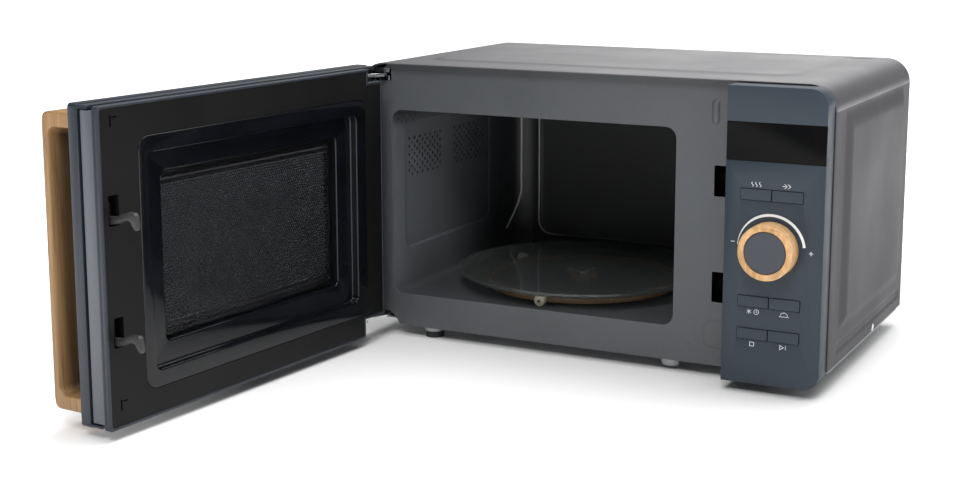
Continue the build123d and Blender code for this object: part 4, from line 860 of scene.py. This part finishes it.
def choke():
    bm = bmesh.new()
    a = (RX0 + 0.4, RX1 - 0.4, RZ0 + 0.4, RZ1 - 0.4)
    b = (RX0 + 14.0, RX1 - 12.0, RZ0 + 14.0, RZ1 - 14.0)
    c = (WX0 - 7.0, WX1 + 5.0, WZ0 - 7.0, WZ1 + 7.0)
    st = []
    def add(q, ins, r, d):
        st.append(((q[0] + ins, q[1] - ins, q[2] + ins, q[3] - ins), max(r - ins, 0.5), d))
    add(a, 0.0, 11.6, -123.4); add(a, 0.0, 11.6, -122.1); add(a, 0.12, 11.6, -121.7); add(a, 0.45, 11.6, -121.45); add(a, 0.95, 11.6, -121.4)
    for ins, d in ((-1.3, -121.4), (-0.75, -121.5), (-0.3, -121.8), (-0.05, -122.3), (0.0, -122.9)):
        add(b, ins, 6.0, d)
    for ins, d in ((0.0, -126.9), (0.1, -127.6), (0.45, -128.1), (1.0, -128.35), (1.6, -128.4)):
        add(b, ins, 6.0, d)
    for ins, d in ((-1.4, -128.4), (-0.8, -128.5), (-0.3, -128.8), (-0.05, -129.3), (0.0, -129.9)):
        add(c, ins, 5.0, d)
    add(c, 0.0, 5.0, -133.7); add(c, -1.8, 5.0, -133.7); add(c, -1.8, 5.0, -130.0); add(b, -2.2, 6.0, -130.0); add(b, -2.2, 6.0, -123.5)
    loops = [[at_door(u, d, v) for u, v in rr(*q, r, 8)] for q, r, d in st]
    add_loops(bm, loops, ring=True)
    finish_mesh("choke_ring", bm, MAT["gloss_black"], "door", ("choke_cover",), angle=60, weighted=False)

choke()

def screen():
    """Perforated sheet: staggered round holes, solid margin."""
    pitch, rad = 2.66, 0.95
    x0, x1, z0, z1 = WX0 - 5.0, WX1 + 3.0, WZ0 - 5.0, WZ1 + 5.0
    px, pz = pitch, pitch * math.sqrt(3) / 2
    nx, nz = int((x1 - x0 - 4.0) / px), int((z1 - z0 - 4.0) / pz)
    ox, oz = (x0 + x1) / 2 - (nx - 0.5) * px / 2, (z0 + z1) / 2 - (nz - 1) * pz / 2
    R = pitch / math.sqrt(3)
    bm = bmesh.new()
    grid = {}
    def vert(u, v):
        key = (round(u, 3), round(v, 3))
        if key not in grid:
            grid[key] = bm.verts.new(at_door(u, -134.92, v))
        return grid[key]
    hexo = [(R * math.cos(math.radians(30 + 60 * k)), R * math.sin(math.radians(30 + 60 * k))) for k in range(6)]
    hole = [(rad * math.cos(math.radians(30 + 60 * k)), rad * math.sin(math.radians(30 + 60 * k))) for k in range(6)]
    for j in range(nz):
        # a blank row splits off the last two rows at the top and bottom
        for i in range(nx):
            cx = ox + i * px + (px / 2 if j % 2 else 0)
            cz = oz + j * pz
            o = [vert(cx + u, cz + v) for u, v in hexo]
            if j in (2, nz - 3):
                bm.faces.new(o)
                continue
            h = [bm.verts.new(at_door(cx + u, -134.92, cz + v)) for u, v in hole]
            for k in range(6):
                bm.faces.new((o[k], o[(k + 1) % 6], h[(k + 1) % 6], h[k]))
    finish_mesh("screen_perforated", bm, MAT["screen_metal"], "door", ("door_screen",), solid=0.5, weighted=False, angle=40)
    bm = bmesh.new()
    ix0, ix1 = ox - px / 2 + 0.1, ox + nx * px - 0.1
    iz0, iz1 = oz - R * 0.6, oz + (nz - 1) * pz + R * 0.6
    add_slab(bm, at_door, rr(x0 - 0.4, x1 + 0.4, z0 - 0.4, z1 + 0.4, 3.0, 4), [rr(ix0 + 0.9, ix1 - 0.9, iz0, iz1, 0.2, 2)[::-1]], -134.95, -135.45)
    finish_mesh("screen_margin", bm, MAT["screen_metal"], "door", ("door_screen",), weighted=False)

screen()

def handle():
    """Oak bar, scooped from its free side; loops run up the bar."""
    x0, x1, z0, z1, yo, yi = 94.0, 132.0, 17.5, 246.0, -184.0, -151.0
    er, cr = 3.6, 9.0
    def scoop(y, z):
        hx, hz = 12.3, (z1 - z0) / 2 - 12.3
        cz = (z0 + z1) / 2
        # rounded rectangle, open towards the door
        qy, qz = (-(y + 151.0) if y < -151.0 else 0.0) - (24.6 - 6.5), abs(z - cz) - (hz - 6.5)
        sd = math.hypot(max(qy, 0), max(qz, 0)) + min(max(qy, qz), 0.0) - 6.5
        t = max(0.0, min(1.0, (-sd + 1.6) / 13.0))
        return 25.2 * (1.0 - (1.0 - t) ** 2.4) * smooth(min(1.0, (-sd + 2.6) / 4.2)) if sd < 2.6 else 0.0
    zs = set()
    for k in range(13):
        a = math.pi / 2 * k / 12
        zs.add(round(z0 + cr * (1 - math.cos(a)) , 3)); zs.add(round(z1 - cr * (1 - math.cos(a)), 3))
    q = z0
    for lo, hi, st in ((z0 + 9, z0 + 30, 0.6), (z0 + 30, z1 - 30, 5.0), (z1 - 30, z1 - 9, 0.6)):
        v = lo
        while v < hi - 1e-6:
            zs.add(round(v, 3)); v += st
    zs = sorted(zs)
    bm = bmesh.new()
    loops = []
    for z in zs:
        e = min(z - z0, z1 - z)
        off = cr - math.sqrt(max(0.0, cr * cr - (cr - e) ** 2)) if e < cr else 0.0
        ye = yo + off
        r = min(er, max(0.15, e * 0.55 + 0.15))
        pts = [(x0, yi)]
        for k in range(1, 4):
            pts.append((x0, yi + (ye + r - yi) * k / 4))
        for k in range(7):
            a = math.pi + math.pi / 2 * k / 6
            pts.append((x0 + r + r * math.cos(a), ye + r + r * math.sin(a)))
        for k in range(1, 5):
            pts.append((x0 + r + (x1 - x0 - 2 * r) * k / 5, ye))
        for k in range(7):
            a = -math.pi / 2 + math.pi / 2 * k / 6
            pts.append((x1 - r + r * math.cos(a), ye + r + r * math.sin(a)))
        n = 44
        for k in range(1, n + 1):
            y = ye + r + (yi - ye - r) * k / n
            pts.append((x1 - scoop(y, z), y))
        # shrink slightly right at the ends so that the end faces have a soft edge
        sh = 0.0 if e > 1.6 else 1.6 - math.sqrt(max(0.0, 1.6 ** 2 - (1.6 - e) ** 2))
        cxm = (x0 + x1) / 2
        pts = [(x + (sh if x < cxm else -sh) * (1 if abs(x - cxm) > 10 else 0), y) for x, y in pts]
        loops.append([at_door(u, d, z) for u, d in pts])
    add_loops(bm, loops, cap0=True, cap1=True)
    finish_mesh("handle_grip", bm, OAK_DEEP, "door", ("door_handle",), angle=55, weighted=False)

handle()


def cavity_details():
    # pressed field of the back wall
    bm = bmesh.new()
    prof = [(0.0, 126.0), (0.1, 125.5), (0.6, 125.0), (1.5, 124.75), (2.6, 124.65), (3.4, 124.65), (4.2, 124.95), (5.0, 125.1)]
    loops = frame_loops(at_front, -160.5, 49.0, 56.0, 207.0, 15.0, prof, 8)
    add_loops(bm, loops, cap1=True)
    finish_mesh("cavity_back_pressing", bm, LINER, "cabinet", (), angle=60, weighted=False)
    # bead down the rounded corners, curling away at its foot
    bm = bmesh.new()
    for side in (0, 1):
        cx = -163.8 if side == 0 else 52.2
        rows = []
        for k in range(26):
            z = 208.0 - k * 5.6 if k < 20 else 101.6 - 1.2 * (k - 19) ** 1.35 * 3.0
            a = math.radians(60.0 - (0.0 if k < 20 else (k - 19) ** 2 * 0.9))
            lp = []
            for q, h in ((-1.3, 0.0), (-0.75, 0.38), (0.0, 0.6), (0.75, 0.38), (1.3, 0.0), (0.0, -0.5)):
                aa = a + q / 30.0
                r = 30.0 - h
                sx = -math.cos(aa) if side == 0 else math.cos(aa)
                lp.append(((cx + sx * r) * M, (96.0 + r * math.sin(aa)) * M, z * M))
            rows.append(lp)
        add_loops(bm, rows, cap0=True, cap1=True)
    # thin raised line round the pressed field
    line = [(-0.9, 125.7), (-0.5, 125.1), (0.0, 124.8), (0.5, 124.35), (1.1, 124.3), (1.7, 124.55)]
    add_loops(bm, frame_loops(at_front, -160.5, 49.0, 56.0, 207.0, 15.0, line, 8))
    # the beads take the lighter enamel: painted highlights
    finish_mesh("cavity_corner_beads", bm, BEAD_HIGHLIGHT, "cabinet", (), angle=60, weighted=False)
    # shallow duct behind the vents; its black enamel is partly painted shade, a dark sheet that makes the holes read
    # dark
    bm = bmesh.new()
    place = lambda u, d, v: (d * M, u * M, v * M)
    loops = []
    for ins, dep in ((0.0, -196.6), (0.2, -199.0), (1.2, -201.4), (3.0, -202.4), (3.6, -202.5)):
        loops.append([place(u, dep, v) for u, v in rr(-96.0 + ins, 78.0 - ins, 132.0 + ins, 196.0 - ins, 8.0 - ins, 4)])
    add_loops(bm, loops, cap1=True)
    finish_mesh("vent_shade_duct", bm, MAT["black_enamel"], "cabinet", (), solid=0.6, weighted=False)

cavity_details()

def latch_coil():
    """Coil spring over the latch slider, built at one length; the mesh does not shorten as the slider lifts."""
    bm = bmesh.new()
    z0, z1, turns, R, w = 180.3, 199.7, 8.0, 2.35, 0.38
    rows = []
    n = int(turns * 18)
    for k in range(n + 1):
        t = k / n
        a = 2 * math.pi * turns * t
        z = z0 + (z1 - z0) * t
        ring = []
        for j in range(6):
            b = 2 * math.pi * j / 6
            rr_ = R + w * math.cos(b)
            ring.append(at_door(122.0 + rr_ * math.cos(a), -131.7 + rr_ * math.sin(a), z + w * math.sin(b)))
        rows.append(ring)
    add_loops(bm, rows, cap0=True, cap1=True)
    ob = finish_mesh("latch_coil", bm, MAT["screw_steel"], "door", ("latch_spring",), angle=80, weighted=False)
    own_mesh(ob)

latch_coil()

# ================================================================== stage, light and camera
def stage():
    bm = bmesh.new()
    bmesh.ops.create_grid(bm, x_segments=8, y_segments=8, size=6.0)
    me = bpy.data.meshes.new("floor")
    bm.to_mesh(me); bm.free()
    ob = bpy.data.objects.new("floor", me)
    bpy.context.scene.collection.objects.link(ob)
    m, nt, b = node_mat("floor_white")
    n = noise(nt, coords(nt), 3.0, 2.0, 0.5)
    nt.links.new(ramp(nt, n, [(0.3, (0.90, 0.90, 0.90)), (0.7, (0.92, 0.92, 0.92))]), b.inputs["Base Color"])
    b.inputs["Roughness"].default_value = 0.7
    b.inputs["Specular IOR Level"].default_value = 0.2
    # the sweep brightens away from the object, so that it runs into the white backdrop
    dist = nt.nodes.new("ShaderNodeVectorMath")
    dist.operation = "LENGTH"
    nt.links.new(coords(nt), dist.inputs[0])
    b.inputs["Emission Color"].default_value = (1, 1, 1, 1)
    nt.links.new(span(nt, dist.outputs["Value"], 0.0, 1.0, 0.38, 1.15), b.inputs["Emission Strength"])
    me.materials.append(m)

stage()

def area(name, loc, target, size, power, col=(1, 1, 1), sy=None):
    l = bpy.data.lights.new(name, "AREA")
    l.shape = "RECTANGLE"
    l.size = size
    l.size_y = sy or size
    l.energy = power
    l.color = col
    ob = bpy.data.objects.new(name, l)
    bpy.context.scene.collection.objects.link(ob)
    ob.location = loc
    ob.rotation_euler = (Vector(target) - Vector(loc)).to_track_quat("-Z", "Y").to_euler()
    return ob

world = bpy.data.worlds.new("studio")
bpy.context.scene.world = world
world.use_nodes = True
wt = world.node_tree
bg = wt.nodes["Background"]
bg.inputs["Color"].default_value = (1.0, 1.0, 1.0, 1)
# dim room, with a broad white backdrop standing behind the object
tcw = wt.nodes.new("ShaderNodeTexCoord")
sep = wt.nodes.new("ShaderNodeSeparateXYZ")
wt.links.new(tcw.outputs["Generated"], sep.inputs[0])
def wmath(op, a, b=0.0):
    n = wt.nodes.new("ShaderNodeMath")
    n.operation = op
    for k, v in enumerate((a, b)):
        if isinstance(v, (int, float)):
            n.inputs[k].default_value = v
        else:
            wt.links.new(v, n.inputs[k])
    return n.outputs[0]
def wspan(v, a, b, lo, hi):
    n = wt.nodes.new("ShaderNodeMapRange")
    n.interpolation_type = "SMOOTHSTEP"
    for key, val in (("From Min", a), ("From Max", b), ("To Min", lo), ("To Max", hi)):
        n.inputs[key].default_value = val
    wt.links.new(v, n.inputs["Value"])
    return n.outputs[0]
off_x = wmath("ABSOLUTE", wmath("ADD", sep.outputs["X"], 0.20))
band = wmath("MULTIPLY", wspan(off_x, 0.12, 0.36, 1.0, 0.0), wspan(sep.outputs["Y"], 0.1, 0.5, 0.0, 1.0))
wt.links.new(wmath("ADD", wmath("MULTIPLY", band, 0.95), 0.15), bg.inputs["Strength"])
# plain white backdrop where nothing stands in view, dimmer as a light source
back = wt.nodes.new("ShaderNodeBackground")
back.inputs["Color"].default_value = (1.0, 1.0, 1.0, 1)
back.inputs["Strength"].default_value = 1.05
lp = wt.nodes.new("ShaderNodeLightPath")
mx = wt.nodes.new("ShaderNodeMixShader")
wt.links.new(lp.outputs["Is Camera Ray"], mx.inputs[0])
wt.links.new(bg.outputs[0], mx.inputs[1])
wt.links.new(back.outputs[0], mx.inputs[2])
wt.links.new(mx.outputs[0], wt.nodes["World Output"].inputs[0])
area("top_softbox", (0.25, 0.25, 2.0), (0, 0, 0.1), 2.2, 58)
area("front_softbox", (0.35, -1.75, 1.75), (0, -0.1, 0.12), 0.8, 26)
area("right_softbox", (2.0, 1.1, 1.0), (0.2, 0.0, 0.12), 0.9, 7)

cam = bpy.data.cameras.new("camera")
cam.sensor_width = 36.0
cam.lens = 60.80
cam.shift_x = -0.01417
cam.shift_y = -0.0409
cam.clip_start = 0.05
co = bpy.data.objects.new("camera", cam)
bpy.context.scene.collection.objects.link(co)
co.location = (0.5491, -1.38436, 0.39114)
co.rotation_euler = (math.radians(90 - 10.19), 0, math.radians(26.93))
bpy.context.scene.camera = co
bpy.context.scene.view_settings.view_transform = "Standard"
